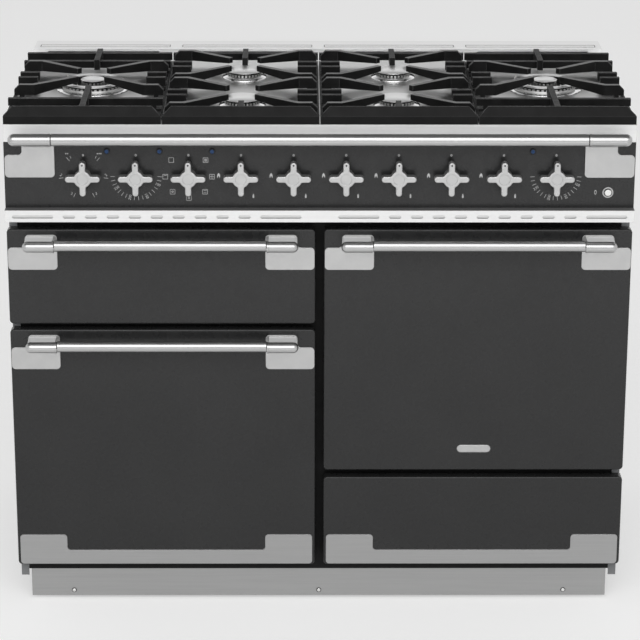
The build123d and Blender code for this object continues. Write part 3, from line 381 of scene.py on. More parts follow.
def make_cast_iron():
    """Matt enamelled cast iron with a sandy skin and greyer edges, mostly a painted highlight and partly
    wear.
    """
    material = start_material("cast_iron", {"Specular IOR Level": 0.16})
    mottle = noise(material, 45.0, 4.0)
    cloud = blend_colours(material, mottle, (0.004, 0.004, 0.004), (0.008, 0.008, 0.008))
    rounded = edge_normal(material, 0.0014)
    # Sharp edges turn pale grey: mostly a painted highlight, partly wear
    wear_and_highlight = edge_mask(material, rounded)
    feed(material, "Base Color", blend_colours(material, wear_and_highlight, cloud, (0.16, 0.16, 0.161), 0.02, 0.9))
    roughen(material, noise(material, 90.0, 3.0), 0.42, 0.56)
    bump(material, noise(material, 1300.0, 4.0), 0.00018, 0.5, rounded)
    return material


def make_enamel():
    """Dark vitreous enamel with pale specks."""
    material = start_material("speckled_enamel", {"Coat Weight": 0.4, "Coat Roughness": 0.12})
    base = blend_colours(material, noise(material, 18.0, 3.0), (0.020, 0.021, 0.025), (0.030, 0.031, 0.036))
    specks = noise(material, 520.0, 1.0)
    feed(material, "Base Color", blend_colours(material, specks, base, (0.42, 0.43, 0.46), 0.70, 0.76))
    roughen(material, noise(material, 60.0), 0.22, 0.34)
    bump(material, noise(material, 300.0, 2.0), 0.00008, 0.4)
    return material


def make_galvanised():
    """Zinc-coated sheet with crystal spangle."""
    material = start_material("galvanised_sheet", {"Metallic": 1.0})
    place = node(material, "ShaderNodeTexCoord").outputs["Object"]
    cells = node(material, "ShaderNodeTexVoronoi", {"Vector": place, "Scale": 70.0})
    grey = node(material, "ShaderNodeSeparateColor", {"Color": cells.outputs["Color"]}).outputs["Red"]
    colour = blend_colours(material, grey, (0.36, 0.37, 0.38), (0.52, 0.53, 0.54), 0.0, 1.0)
    feed(material, "Base Color", colour)
    feed(material, "Roughness", rescale(material, grey, 0.38, 0.55, 0.0, 1.0))
    bump(material, noise(material, 500.0, 3.0), 0.00004, 0.4, edge_normal(material, 0.0006))
    return material


def make_moulded(name, dark, light, roughness, grain):
    """Moulded plastic or rubber with a fine pebble grain."""
    material = start_material(name)
    feed(material, "Base Color", blend_colours(material, noise(material, 40.0, 3.0), dark, light))
    roughen(material, noise(material, 120.0), roughness - 0.06, roughness + 0.06)
    bump(material, noise(material, grain, 2.0), 0.00008, 0.5, edge_normal(material, 0.0006))
    return material


def make_lens():
    """Blue lamp lens, darker in its depth."""
    values = {"Coat Weight": 0.2, "Coat Roughness": 0.05, "Specular IOR Level": 0.2}
    material = start_material("blue_lens", values)
    depth = noise(material, 400.0, 2.0)
    colour = blend_colours(material, depth, (0.002, 0.022, 0.085), (0.006, 0.065, 0.21))
    feed(material, "Base Color", colour)
    roughen(material, noise(material, 900.0), 0.12, 0.22)
    bump(material, noise(material, 1500.0), 0.00003, 0.3)
    return material


def make_print(name, dark, light):
    """Screen print with a slightly uneven ink film."""
    material = start_material(name, {"Specular IOR Level": 0.3})
    feed(material, "Base Color", blend_colours(material, noise(material, 900.0, 3.0), dark, light))
    roughen(material, noise(material, 300.0), 0.45, 0.6)
    bump(material, noise(material, 2500.0), 0.00001, 0.3)
    return material


charcoal = painted("charcoal_paint", (0.0155, 0.0157, 0.0160), (0.0195, 0.0197, 0.0200), 0.28,
                   (0.11, 0.1105, 0.111))
black_paint = painted("black_paint", (0.003, 0.003, 0.003), (0.005, 0.005, 0.005), 0.6,
                      (0.012, 0.012, 0.012), 0.2)
grey_paint = painted("grey_paint", (0.20, 0.205, 0.21), (0.235, 0.24, 0.245), 0.42, (0.34, 0.34, 0.35))
stainless = brushed("brushed_stainless", (0.62, 0.62, 0.62), (0.66, 0.66, 0.657), 0.34, 0)
# Rougher steel for the front of the hob tray, paler than its top as a painted highlight
lit_front_steel = brushed("lit_front_steel", (0.79, 0.79, 0.79), (0.83, 0.83, 0.828), 0.60, 0, 0.0020)
# Darker steel for the plinth and lower trims: painted shade for light that falls off toward the floor
shaded_trim_steel = brushed("shaded_trim_steel", (0.38, 0.38, 0.38), (0.41, 0.41, 0.409), 0.40, 0, 0.0012)
strip_steel = brushed("strip_steel", (0.76, 0.76, 0.76), (0.80, 0.80, 0.798), 0.36, 0)
bar_steel = brushed("bar_steel", (0.49, 0.49, 0.49), (0.52, 0.52, 0.518), 0.29, 0)
satin_plate = satin("satin_plate", (0.49, 0.49, 0.49), (0.53, 0.53, 0.528), 0.40, 0.0010)
# Pale non-metal paint for the upward faces of the handles: a painted highlight in place of lit plated metal
arm_top_highlight = painted("arm_top_highlight", (0.80, 0.80, 0.80), (0.84, 0.84, 0.838), 0.35, (0.90, 0.90, 0.898), 0.6)
knob_metal = satin("knob_metal", (0.52, 0.52, 0.52), (0.56, 0.56, 0.557), 0.42, 0.0012)
pale_steel = brushed("pale_steel", (0.90, 0.90, 0.90), (0.93, 0.93, 0.928), 0.36, 0)
# Dark matt grey for the top of the vent strip: painted shade on the ledge in place of its steel
ledge_shade_grey = painted("ledge_shade_grey", (0.11, 0.11, 0.11), (0.14, 0.14, 0.14), 0.5, (0.26, 0.26, 0.26))
bright_wire = satin("bright_wire", (0.70, 0.70, 0.69), (0.80, 0.80, 0.79), 0.22)
chrome = satin("chrome", (0.82, 0.82, 0.82), (0.88, 0.88, 0.88), 0.10)
cast_aluminium = satin("cast_aluminium", (0.50, 0.50, 0.495), (0.62, 0.62, 0.615), 0.45)
cap_metal = satin("cap_metal", (0.92, 0.92, 0.92), (0.96, 0.96, 0.957), 0.40)
# Near-black metal for the burner necks: painted shade under the lids
neck_shade = satin("neck_shade_metal", (0.02, 0.02, 0.02), (0.06, 0.06, 0.059), 0.5)
# Paler paint for the flat tops of the pan supports' fingers: a painted highlight
crest_highlight = painted("crest_highlight", (0.12, 0.12, 0.12), (0.17, 0.17, 0.17), 0.5, (0.32, 0.32, 0.32))
heater = satin("heater_sheath", (0.06, 0.055, 0.05), (0.14, 0.125, 0.11), 0.45)
brass = satin("tap_brass", (0.52, 0.36, 0.14), (0.66, 0.48, 0.20), 0.34)
cast_iron = make_cast_iron()
enamel = make_enamel()
galvanised = make_galvanised()
rubber = make_moulded("seal_rubber", (0.012, 0.012, 0.012), (0.022, 0.022, 0.022), 0.7, 900.0)
plastic = make_moulded("foot_plastic", (0.016, 0.016, 0.017), (0.026, 0.026, 0.027), 0.5, 1400.0)
ceramic = make_moulded("igniter_ceramic", (0.68, 0.67, 0.64), (0.78, 0.77, 0.74), 0.35, 2200.0)
lens = make_lens()
pale_print = make_print("pale_print", (0.50, 0.50, 0.50), (0.62, 0.62, 0.62))
dark_print = make_print("dark_print", (0.006, 0.006, 0.006), (0.012, 0.012, 0.012))

FINISHES = {
    "charcoal_paint": charcoal,
    "black_paint": black_paint,
    "grey_paint": grey_paint,
    "galvanised": galvanised,
    "enamel": enamel,
    "stainless": stainless,
    "satin_metal": satin_plate,
    "bright_metal": bright_wire,
    "cast_iron": cast_iron,
    "cast_aluminium": cast_aluminium,
    "cap_steel": cap_metal,
    "heater_sheath": heater,
    "seal_rubber": rubber,
    "foot_plastic": plastic,
    "tap_brass": brass,
    "blue_lens": lens,
}


def dress_frame():
    """Give each solid the finish of its material slot."""
    for row in frame["record"]["subparts"]:
        mesh = frame["nodes"][row["node"]].data
        mesh.materials.clear()
        mesh.materials.append(FINISHES[row["material_slot"]])


def dress_exceptions():
    """Finishes that differ from a solid's slot, for a whole solid or for some of its faces."""
    # The plinth and lower trims get the darker steel as painted shade, and their upward faces the paler
    # strip steel as a painted highlight
    for name in ("plinth", "left_oven_door_trim", "drawer_trim"):
        frame["nodes"][name].data.materials[0] = shaded_trim_steel
        refinish(name, strip_steel, lambda f: f.normal.z > HALF_UP)
    # Black paint on the base frame darkens the gap under the doors as painted shade
    frame["nodes"]["base_frame"].data.materials[0] = black_paint
    frame["nodes"]["vent_strip"].data.materials[0] = strip_steel
    frame["nodes"]["rear_vent_trim"].data.materials[0] = pale_steel
    for name in KNOBS:
        frame["nodes"][name].data.materials[0] = knob_metal
    for name in HANDLES:
        y, z, bead = bar_of(name)
        # Upward faces of each handle get the pale paint as a painted highlight; the bar's own faces then
        # get the bar steel
        refinish(name, arm_top_highlight, lambda f: f.normal.z > LEANING_UP)
        refinish(name, bar_steel, lambda f: math.hypot(f.center.y - y, f.center.z - z) < bead + BEAD_SLACK)
    refinish("gas_rail_and_controls", satin_plate, lambda f: f.center.y < panel_face)
    # Front faces of the hob tray get the rougher, paler steel: the paler colour is a painted highlight
    refinish("hob_tray", lit_front_steel, lambda f: f.normal.y < -FACING_FRONT)
    # The vent strip's top ledge gets the dark grey as painted shade
    refinish("vent_strip", ledge_shade_grey, lambda f: f.normal.z > FACING_UP)
    # The flat tops of the fingers get the paler paint, a painted highlight
    for name in SUPPORTS:
        low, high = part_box(name)
        centre_x = middle(name).x
        refinish(name, crest_highlight, lambda f: f.normal.z > FACING_UP and f.center.z > high.z - CREST_BAND
                 and f.center.y > low.y + FRONT_BEAM and abs(f.center.x - centre_x) > FINGER_HALF)


def refinish(name, material, wanted):
    """Give another finish to the faces of a solid that pass a test."""
    mesh = frame["nodes"][name].data
    mesh.materials.append(material)
    slot = len(mesh.materials) - 1
    for face in mesh.polygons:
        if wanted(face):
            face.material_index = slot


def middle(name):
    """Middle of a solid's box."""
    low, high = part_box(name)
    return (low + high) / 2


def bar_of(name):
    """A handle's bar: the y and z of its axis, and the radius of its beads."""
    low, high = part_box(name)
    bead = RAIL_BEAD if name == "hand_rail" else HANDLE_BEAD
    return low.y + bead, high.z - bead, bead


def make_piece(name, shape, material, body):
    """Turn a bmesh into a piece of the object that rides on a body."""
    bmesh.ops.recalc_face_normals(shape, faces=shape.faces)
    mesh = bpy.data.meshes.new(name)
    shape.to_mesh(mesh)
    shape.free()
    mesh.shade_smooth()
    mesh.set_sharp_from_angle(angle=SHARP_ANGLE)
    mesh.materials.append(material)
    piece = bpy.data.objects.new(name, mesh)
    scene.collection.objects.link(piece)
    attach(piece, body)
    return piece


def add_prism(shape, outline, front, back, axis=1):
    """Add a plate to a bmesh: an outline in two axes between two depths along the third."""
    near = [shape.verts.new((*at[:axis], front, *at[axis:])) for at in outline]
    far = [shape.verts.new((*at[:axis], back, *at[axis:])) for at in outline]
    shape.faces.new(near)
    shape.faces.new(far[::-1])
    for first in range(len(outline)):
        second = (first + 1) % len(outline)
        shape.faces.new((near[first], far[first], far[second], near[second]))


def add_stroke(shape, start, end, width, front, back, axis=1):
    """Add a straight printed line."""
    start = Vector(start)
    end = Vector(end)
    side = (end - start).normalized().orthogonal() * width / 2
    add_prism(shape, [start - side, end - side, end + side, start + side], front, back, axis)


def oblong(low, high):
    """Corners of an oblong between two opposite corners."""
    return [(low[0], low[1]), (high[0], low[1]), (high[0], high[1]), (low[0], high[1])]


def add_outline(shape, corners, width, front, back, axis=1):
    """Add printed lines round a closed outline."""
    for start, end in zip(corners, corners[1:] + corners[:1]):
        add_stroke(shape, start, end, width, front, back, axis)


def facing(place, direction):
    """A placing that turns an upright form to face a direction."""
    return Matrix.Translation(place) @ Vector(direction).to_track_quat("Z", "Y").to_matrix().to_4x4()


def add_turned(shape, placing, profile, count=48):
    """Add a turned form: a profile of (radius, height) points swept round an axis."""
    rings = []
    for radius, height in profile:
        turns = [2 * math.pi * index / count for index in range(count)] if radius else [0.0]
        ring = [placing @ Vector((radius * math.cos(a), radius * math.sin(a), height)) for a in turns]
        rings.append([shape.verts.new(at) for at in ring])
    for first, second in zip(rings, rings[1:]):
        for index in range(count):
            after = (index + 1) % count
            near = [first[index % len(first)], first[after % len(first)]]
            far = [second[after % len(second)], second[index % len(second)]]
            shape.faces.new(dict.fromkeys(near + far))


def add_ring(shape, centre, inner, outer, front, back, count=20, stretch=1.0):
    """Add a printed ring, taller than wide by the stretch."""
    turns = [2 * math.pi * index / count for index in range(count)]
    for first, second in zip(turns, turns[1:] + turns[:1]):
        corners = [(inner, first), (outer, first), (outer, second), (inner, second)]
        outline = [(centre[0] + r * math.cos(a), centre[1] + stretch * r * math.sin(a)) for r, a in corners]
        add_prism(shape, outline, front, back)


def on_dial(axis, angle, radius):
    """A point on a dial, by its angle clockwise from the top."""
    turn = math.radians(angle)
    return axis[0] + radius * math.sin(turn), axis[1] + radius * math.cos(turn)


def add_text(shape, words, place, size, turn, front, back):
    """Add printed digits, standing at a place and turned clockwise."""
    curve = bpy.data.curves.new("digits", "FONT")
    curve.body = words
    curve.size = size
    curve.align_x = "CENTER"
    curve.align_y = "CENTER"
    curve.extrude = (back - front) / 2
    curve.resolution_u = 3
    holder = bpy.data.objects.new("digits", curve)
    scene.collection.objects.link(holder)
    bpy.context.view_layer.update()
    mesh = bpy.data.meshes.new_from_object(holder.evaluated_get(bpy.context.evaluated_depsgraph_get()))
    upright = Matrix.Rotation(math.radians(90), 4, "X")
    turned = Matrix.Rotation(math.radians(turn), 4, "Y")
    mesh.transform(Matrix.Translation((place[0], (front + back) / 2, place[1])) @ turned @ upright)
    shape.from_mesh(mesh)
    bpy.data.objects.remove(holder)
    bpy.data.curves.remove(curve)
    bpy.data.meshes.remove(mesh)


# The control panel's face, and the front and back of the prints on it
panel_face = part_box("control_panel")[0].y
PRINT = (panel_face - PRINT_DEPTH, panel_face)


def knob_axis(name):
    """Where a knob's axis meets the panel, as (x, z)."""
    centre = middle(name)
    return centre.x, centre.z


def add_off_mark(shape, axis):
    """The small ring above a knob that marks off."""
    add_ring(shape, on_dial(axis, 0, OFF_RADIUS), OFF_HOLE, OFF_SIZE, *PRINT, 14, OFF_STRETCH)


def add_heat_scale(shape, axis):
    """Oven heat dial: a fan of ticks with four numbers."""
    for index in range(HEAT_TICKS):
        angle = HEAT_FIRST + index * HEAT_STEP
        if index in HEAT_NUMBERS:
            place = on_dial(axis, angle, (HEAT_INNER + HEAT_OUTER) / 2)
            turn = angle - 90 if angle < 180 else angle - 270
            add_text(shape, HEAT_NUMBERS[index], place, HEAT_TEXT, turn, *PRINT)
        else:
            inner = on_dial(axis, angle, HEAT_INNER)
            outer = on_dial(axis, angle, HEAT_OUTER)
            add_stroke(shape, inner, outer, STROKE, *PRINT)


def add_grill_scale(shape, axis):
    """Grill dial: three steps each way, and squares for half and full width."""
    for angle, words in GRILL_MARKS.items():
        for side in (-1, 1):
            turn = side * angle
            inner = on_dial(axis, turn, GRILL_INNER)
            outer = on_dial(axis, turn, GRILL_OUTER)
            add_stroke(shape, inner, outer, STROKE, *PRINT)
            place = on_dial(axis, turn - side * GRILL_TEXT_TURN, GRILL_TEXT_RADIUS)
            tilt = turn if angle < 90 else turn - side * 180
            add_text(shape, words, place, GRILL_TEXT, tilt * GRILL_TEXT_TILT, *PRINT)
    for side, count in WIDTH_SQUARES.items():
        for index in range(count):
            x = axis[0] + side * SQUARE_X + (index - (count - 1) / 2) * SQUARE_PITCH
            z = axis[1] + SQUARE_Z
            low = (x - SQUARE_HALF, z - SQUARE_HALF)
            high = (x + SQUARE_HALF, z + SQUARE_HALF)
            add_prism(shape, oblong(low, high), *PRINT)


def add_mode_icon(shape, centre, kind):
    """A square oven sign with bars that tell the modes apart."""
    half = MODE_ICON / 2
    reach = half * MODE_REACH
    x, z = centre
    add_outline(shape, oblong((x - half, z - half), (x + half, z + half)), STROKE, *PRINT)
    if kind % 2:
        for share in MODE_PAIR if kind > 2 else MODE_SINGLE:
            level = z + share * half
            add_stroke(shape, (x - reach, level), (x + reach, level), STROKE, *PRINT)
    if kind % 3 == 0:
        add_ring(shape, centre, half * MODE_RING[0], half * MODE_RING[1], *PRINT, 12)
    if kind == 4:
        add_stroke(shape, (x, z - half), (x, z + half), STROKE, *PRINT)
        add_stroke(shape, (x - half, z), (x + half, z), STROKE, *PRINT)


def add_flame(shape, centre, height, width, notch):
    """A pointed flame sign with a notch at its foot, as two mirrored halves."""
    for side in (-1, 1):
        outline = [(0.0, notch - height / 2)]
        for index in range(FLAME_STEPS + 1):
            share = index / FLAME_STEPS
            taper = math.cos(math.pi / 2 * share) ** FLAME_BLUNT
            reach = taper * (FLAME_FOOT + FLAME_BELLY * share) * width
            outline.append((side * reach, (share - 0.5) * height))
        add_prism(shape, [(centre[0] + x, centre[1] + z) for x, z in outline], *PRINT)


def make_dial(name):
    """The print round one knob."""
    axis = knob_axis(name)
    shape = bmesh.new()
    add_off_mark(shape, axis)
    if name == "grill_knob":
        add_grill_scale(shape, axis)
    elif "heat" in name:
        add_heat_scale(shape, axis)
    elif "mode" in name:
        for kind, angle in enumerate(MODE_ANGLES):
            add_mode_icon(shape, on_dial(axis, angle, MODE_RADIUS), kind)
    else:
        for angle, radius, *sizes in FLAMES:
            add_flame(shape, on_dial(axis, angle, radius), *sizes)
    make_piece(name + "_dial", shape, pale_print, "body")


def make_knob_dot(name):
    """The dark pointer dot on a knob's top arm."""
    low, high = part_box(name)
    centre = ((low.x + high.x) / 2, low.y, high.z - DOT_INSET)
    profile = [(0.0, DOT_RISE), (DOT_FLAT, DOT_RISE), (DOT_RADIUS, DOT_RISE * 2 / 3),
               (DOT_RADIUS, 0.0), (0.0, 0.0)]
    shape = bmesh.new()
    add_turned(shape, facing(centre, FORWARD), profile, 20)
    make_piece(name + "_dot", shape, dark_print, name)


def make_ignition_sign():
    """The small oval sign beside the ignition button."""
    centre = middle("ignition_button")
    shape = bmesh.new()
    add_ring(shape, (centre.x - SIGN_OFFSET, centre.z), *SIGN_RADII, *PRINT, stretch=SIGN_STRETCH)
    make_piece("ignition_sign", shape, pale_print, "body")


def make_strip_lining():
    """Pale sheet seen through the vent strip's slots."""
    low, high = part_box("vent_strip")
    bottom = (low.x + LINING_END, low.z + LINING_EDGE)
    top = (high.x - LINING_END, high.z - LINING_EDGE)
    shape = bmesh.new()
    add_prism(shape, oblong(bottom, top), low.y + LINING_DEPTHS[0], low.y + LINING_DEPTHS[1])
    make_piece("vent_strip_lining", shape, stainless, "body")


def add_collar(shape, centre, sizes, face):
    """Add a round collar with a softened rim, standing on a face at one depth."""
    inner, outer, reach = sizes
    soft = (outer - inner) * COLLAR_SOFT
    profile = [(inner, 0.0), (inner, reach - soft), (inner + soft, reach), (outer - soft, reach),
               (outer, reach - soft), (outer, 0.0), (inner, 0.0)]
    add_turned(shape, facing((centre.x, face, centre.z), FORWARD), profile, 28)


def split(points, axis):
    """Parts of a list of points that stand apart along one axis."""
    ordered = sorted(points, key=lambda at: at[axis])
    parts = [[ordered[0]]]
    for at in ordered[1:]:
        if at[axis] - parts[-1][-1][axis] > APART:
            parts.append([])
        parts[-1].append(at)
    return parts


def solid_boxes(name):
    """Boxes of a node's solids that stand apart along x or y."""
    points = [v.co for v in frame["nodes"][name].data.vertices]
    boxes = []
    for column in split(points, 0):
        for part in split(column, 1):
            low = Vector([min(at[axis] for at in part) for axis in range(3)])
            high = Vector([max(at[axis] for at in part) for axis in range(3)])
            boxes.append((low, high))
    return boxes


def make_collars(name, node_name, sizes, face):
    """A dark ring round each of a node's solids, standing on a face at one depth."""
    shape = bmesh.new()
    for low, high in solid_boxes(node_name):
        add_collar(shape, (low + high) / 2, sizes, face)
    make_piece(name, shape, rubber, "body")


def make_bar_sleeve(name, body):
    """A handle's outer tube between the beads of its ferrules, with a groove at each end whose floor is
    painted dark as shade.
    """
    y, z, bead = bar_of(name)
    centre_x = middle(name).x
    on_beads = [v.co for v in frame["nodes"][name].data.vertices
                if abs(math.hypot(v.co.y - y, v.co.z - z) - bead) < BEAD_SLACK]
    left = max(at.x for at in on_beads if at.x < centre_x)
    right = min(at.x for at in on_beads if at.x > centre_x)
    core = bead - BEAD_RISE
    outer = bead - SLEEVE_STEP
    groove = [(core, 0.0), (core + GROOVE_RISE, 0.0), (core + GROOVE_RISE, GROOVE_WIDTH),
              (core, GROOVE_WIDTH), (core, 0.0)]
    groove_shade = bmesh.new()
    for x in (left, right - GROOVE_WIDTH):
        add_turned(groove_shade, facing((x, y, z), (1, 0, 0)), groove, 32)
    # The groove floors are dark print: painted shade in the grooves
    make_piece(name + "_grooves", groove_shade, dark_print, body)
    length = right - left - 2 * GROOVE_WIDTH
    profile = [(core, 0.0), (outer - SLEEVE_SOFT, 0.0), (outer, SLEEVE_SOFT), (outer, length - SLEEVE_SOFT),
               (outer - SLEEVE_SOFT, length), (core, length), (core, 0.0)]
    sleeve = bmesh.new()
    add_turned(sleeve, facing((left + GROOVE_WIDTH, y, z), (1, 0, 0)), profile, 64)
    make_piece(name + "_sleeve", sleeve, bar_steel, body)


def add_teeth(shape, centre, count, inner, outer, foot, top):
    """Add a ring of teeth between flame ports, as wide as their gaps."""
    half = math.pi / count / 2
    for index in range(count):
        turn = 2 * math.pi * index / count
        corners = [(inner, turn - half), (outer, turn - half), (outer, turn + half), (inner, turn + half)]
        outline = [(centre.x + r * math.cos(a), centre.y + r * math.sin(a)) for r, a in corners]
        add_prism(shape, outline, centre.z + foot, centre.z + top, 2)


def make_burners():
    """Turned burner parts in place of the plain solids: lids, near-black necks painted as the shade under
    the lids, teeth, skirts and posts.
    """
    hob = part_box("hob_tray")[1].z
    shapes = {kind: bmesh.new() for kind in ("lids", "necks", "walls", "skirts", "posts")}
    for low, high in solid_boxes("burner_caps"):
        centre = Vector(((low.x + high.x) / 2, (low.y + high.y) / 2, hob))
        wok = high.x - low.x > WOK_WIDTH
        burner = WOK_BURNER if wok else PLAIN_BURNER
        if not wok and centre.y > 0:
            centre.y -= REAR_STEP
        for kind in ("lids", "necks", "walls", "skirts"):
            for profile in burner[kind]:
                add_turned(shapes[kind], Matrix.Translation(centre), profile, 72)
        for teeth in burner["teeth"]:
            add_teeth(shapes["walls"], centre, *teeth)
        for radius, angle in WOK_POSTS if wok else PLAIN_POSTS:
            turn = math.radians(angle)
            place = centre + Vector((radius * math.cos(turn), radius * math.sin(turn), 0.0))
            add_turned(shapes["posts"], Matrix.Translation(place), POST, 16)
    lids = make_piece("burner_lids", shapes["lids"], cap_metal, "body")
    necks = make_piece("burner_necks", shapes["necks"], neck_shade, "body")
    skirts = make_piece("burner_skirts", shapes["skirts"], chrome, "body")
    make_piece("burner_walls", shapes["walls"], cast_aluminium, "body")
    make_piece("burner_posts", shapes["posts"], ceramic, "body")
    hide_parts("burner_caps")
    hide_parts("burner_heads")
    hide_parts("burner_bases")


def spread(start, end, count):
    """Evenly spaced places from one end to the other."""
    return [start + (end - start) * index / (count - 1) for index in range(count)]


def add_screw(heads, slot_shade, placing):
    """Add a domed screw head and a dark cross on its top, painted shade for the slots."""
    add_turned(heads, placing, [(r * SCREW_RADIUS, h * SCREW_HEIGHT) for r, h in SCREW_DOME], 20)
    length, width, depth = SCREW_SLOT
    size = Matrix.Diagonal((length * SCREW_RADIUS, width * SCREW_RADIUS, depth * SCREW_HEIGHT, 1.0))
    lift = Matrix.Translation((0.0, 0.0, SCREW_HEIGHT * SCREW_SLOT_LIFT))
    for turn in (0.0, math.pi / 2):
        bmesh.ops.create_cube(slot_shade, size=1.0, matrix=placing @ lift @ Matrix.Rotation(turn, 4, "Z") @ size)


def make_screws():
    """Screws round the rear panel and down the rear edges of the side panels."""
    low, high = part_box("rear_panel")
    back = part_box("base_frame")[1].y
    rows = [(x, z) for x in spread(low.x + SCREW_INSET, high.x - SCREW_INSET, BACK_SCREWS[0])
            for z in (low.z + SCREW_INSET, high.z - SCREW_INSET)]
    rows += [(x, z) for x in (low.x + SCREW_INSET, high.x - SCREW_INSET)
             for z in spread(low.z + SCREW_INSET, high.z - SCREW_INSET, BACK_SCREWS[1])[1:-1]]
    placings = [facing((x, back, z), (0, 1, 0)) for x, z in rows]
    low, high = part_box("side_panels")
    for z in spread(low.z + SCREW_INSET, high.z - 3 * SCREW_INSET, SIDE_SCREWS):
        placings.append(facing((low.x, high.y - SCREW_INSET, z), (-1, 0, 0)))
        placings.append(facing((high.x, high.y - SCREW_INSET, z), (1, 0, 0)))
    heads = bmesh.new()
    slot_shade = bmesh.new()
    for placing in placings:
        add_screw(heads, slot_shade, placing)
    make_piece("case_screws", heads, bright_wire, "body")
    make_piece("case_screw_slot_shade", slot_shade, dark_print, "body")


def make_louvres():
    """Two columns of pressed louvres high on the rear panel, each with a dark sheet below it as painted
    shade in its opening.
    """
    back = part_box("base_frame")[1].y
    turns = [math.pi / 2 * step / LOUVRE_STEPS for step in range(LOUVRE_STEPS + 1)]
    hoods = bmesh.new()
    mouth_shade = bmesh.new()
    for column in LOUVRE_COLUMNS:
        left = column - LOUVRE_WIDTH / 2
        right = column + LOUVRE_WIDTH / 2
        for index in range(LOUVRES):
            top = LOUVRE_TOP - index * LOUVRE_PITCH
            foot = top - LOUVRE_HEIGHT
            arc = [(back + LOUVRE_RISE * math.sin(a), foot + LOUVRE_HEIGHT * math.cos(a)) for a in turns]
            add_prism(hoods, arc + [(back, foot)], left, right, 0)
            mouth = [(back, foot - MOUTH_DROP), (back + MOUTH_LIP, foot - MOUTH_DROP),
                     (back + MOUTH_REACH, foot), (back, foot)]
            add_prism(mouth_shade, mouth, left + MOUTH_INSET, right - MOUTH_INSET, 0)
    make_piece("louvre_hoods", hoods, galvanised, "body")
    make_piece("louvre_mouth_shade", mouth_shade, dark_print, "body")


def make_vent_grooves():
    """Dark outlines of long grooves along the top of the rear vent trim, as painted shade; the trim is not
    cut.
    """
    low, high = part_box("rear_vent_trim")
    pitch = (high.x - low.x) / VENT_GROOVES
    front = low.y + VENT_GROOVE_INSET
    back = front + VENT_GROOVE_WIDTH
    shape = bmesh.new()
    for index in range(VENT_GROOVES):
        start = low.x + index * pitch + VENT_GROOVE_GAP / 2
        end = start + pitch - VENT_GROOVE_GAP
        corners = oblong((start, front), (end, back))
        add_outline(shape, corners, VENT_GROOVE_LINE, high.z, high.z + PRINT_DEPTH, 2)
    make_piece("vent_groove_shade", shape, heater, "body")


def make_button_gasket():
    """The dark ring between the ignition button and its bezel."""
    centre = middle("ignition_button")
    bezel = min(f.center.y for f in frame["nodes"]["gas_rail_and_controls"].data.polygons)
    shape = bmesh.new()
    add_collar(shape, centre, GASKET, bezel)
    make_piece("button_gasket", shape, rubber, "body")


def make_blank_plate():
    """A plain oblong plate with rounded ends low on the right oven door."""
    low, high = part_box("right_oven_door_panel")
    centre_x = (low.x + high.x) / 2
    centre_z = low.z + PLATE_RISE
    end = PLATE_HEIGHT / 2
    straight = PLATE_WIDTH / 2 - end
    shape = bmesh.new()
    for inset, front, back in ((0.0, PLATE_STEP, 0.0), (PLATE_SOFT, PLATE_THICKNESS, PLATE_STEP)):
        outline = []
        for side in (1, -1):
            for index in range(PLATE_TURNS + 1):
                turn = math.pi * (index / PLATE_TURNS - 0.5)
                x = side * (straight + (end - inset) * math.cos(turn))
                outline.append((centre_x + x, centre_z + side * (end - inset) * math.sin(turn)))
        add_prism(shape, outline, low.y - front, low.y - back)
    make_piece("blank_plate", shape, satin_plate, "right_oven_door")


def make_floor():
    """Plain pale floor, with a glow that only the camera, reflections and glass see."""
    half = FLOOR_SIZE / 2
    mesh = bpy.data.meshes.new("floor")
    corners = [(x, y, 0) for x, y in oblong((-half, -half), (half, half))]
    mesh.from_pydata(corners, [], [(0, 1, 2, 3)])
    values = {"Specular IOR Level": 0.1, "Emission Color": (1.0, 1.0, 1.0, 1.0)}
    material = start_material("floor", values)
    clouded = [c * FLOOR_CLOUD for c in FLOOR_COLOUR]
    feed(material, "Base Color", blend_colours(material, noise(material, 1.5, 3.0), FLOOR_COLOUR, clouded))
    roughen(material, noise(material, 30.0), 0.75, 0.85)
    rays = node(material, "ShaderNodeLightPath").outputs
    seen = rays["Is Camera Ray"]
    for kind in ("Is Glossy Ray", "Is Transmission Ray"):
        either = node(material, "ShaderNodeMath", operation="MAXIMUM")
        material.node_tree.links.new(seen, either.inputs[0])
        material.node_tree.links.new(rays[kind], either.inputs[1])
        seen = either.outputs["Value"]
    feed(material, "Emission Strength", rescale(material, seen, 0.0, FLOOR_GLOW, 0.0, 1.0))
    mesh.materials.append(material)
    floor = bpy.data.objects.new("floor", mesh)
    scene.collection.objects.link(floor)


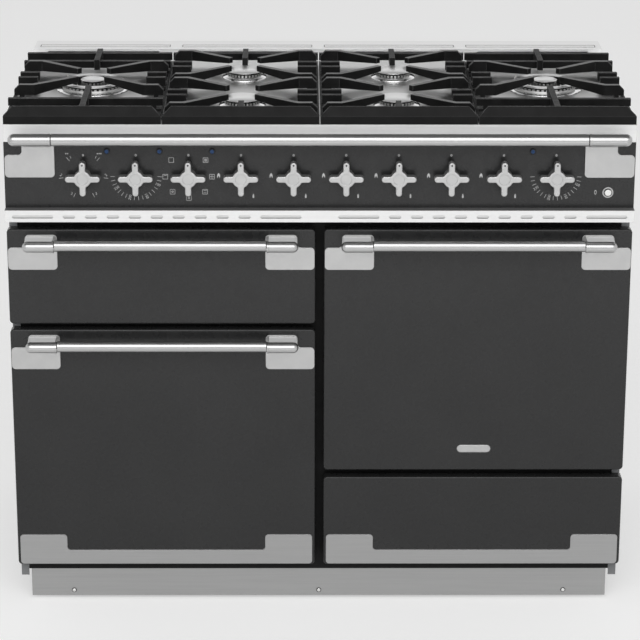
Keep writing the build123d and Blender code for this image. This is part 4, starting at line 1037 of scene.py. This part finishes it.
def make_light():
    """Soft studio light: a pale surround, dimmer overhead, a softbox in front and one over the floor."""
    world = bpy.data.worlds.new("studio")
    scene.world = world
    world.use_nodes = True
    background = world.node_tree.nodes["Background"]
    background.inputs["Color"].default_value = (*WORLD_COLOUR, 1.0)
    direction = node(world, "ShaderNodeTexCoord").outputs["Generated"]
    height = node(world, "ShaderNodeSeparateXYZ", {"Vector": direction}).outputs["Z"]
    level = rescale(world, height, 1.0, WORLD_OVERHEAD, *WORLD_BAND)
    world.node_tree.links.new(level, background.inputs["Strength"])
    for name, place, target, size, power, beam in (FRONT, APRON):
        data = bpy.data.lights.new(name, "AREA")
        data.shape = "RECTANGLE"
        data.size = size[0]
        data.size_y = size[1]
        data.energy = power
        data.spread = math.radians(beam)
        lamp = bpy.data.objects.new(name, data)
        lamp.visible_camera = False
        lamp.location = place
        lamp.rotation_euler = (Vector(target) - Vector(place)).to_track_quat("-Z", "Y").to_euler()
        scene.collection.objects.link(lamp)


def make_camera():
    """Camera at the photograph's viewpoint."""
    data = bpy.data.cameras.new("camera")
    data.sensor_width = SENSOR
    data.lens = SENSOR * FOCAL_PIXELS / IMAGE_WIDTH
    data.clip_end = 100.0
    camera = bpy.data.objects.new("camera", data)
    scene.collection.objects.link(camera)
    turn = Matrix.Rotation(-CAMERA_YAW, 4, "Z") @ Matrix.Rotation(math.pi / 2 - CAMERA_PITCH, 4, "X")
    camera.matrix_world = Matrix.Translation(CAMERA_PLACE) @ turn @ Matrix.Rotation(CAMERA_ROLL, 4, "Z")
    scene.camera = camera


scene.view_settings.view_transform = "Standard"
dress_frame()
dress_exceptions()
for knob in KNOBS:
    make_dial(knob)
    make_knob_dot(knob)
make_ignition_sign()
make_strip_lining()
make_collars("lamp_rims", "indicator_lamps", LAMP_RIM, panel_face)
# Dark rings round the plinth screws: painted shade round their heads
make_collars("screw_shade_rings", "plinth_screws", SCREW_SHADE_RING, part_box("plinth")[0].y)
for handle, body in HANDLES.items():
    make_bar_sleeve(handle, body)
make_burners()
make_screws()
make_louvres()
make_vent_grooves()
make_button_gasket()
make_blank_plate()
make_floor()
make_light()
make_camera()
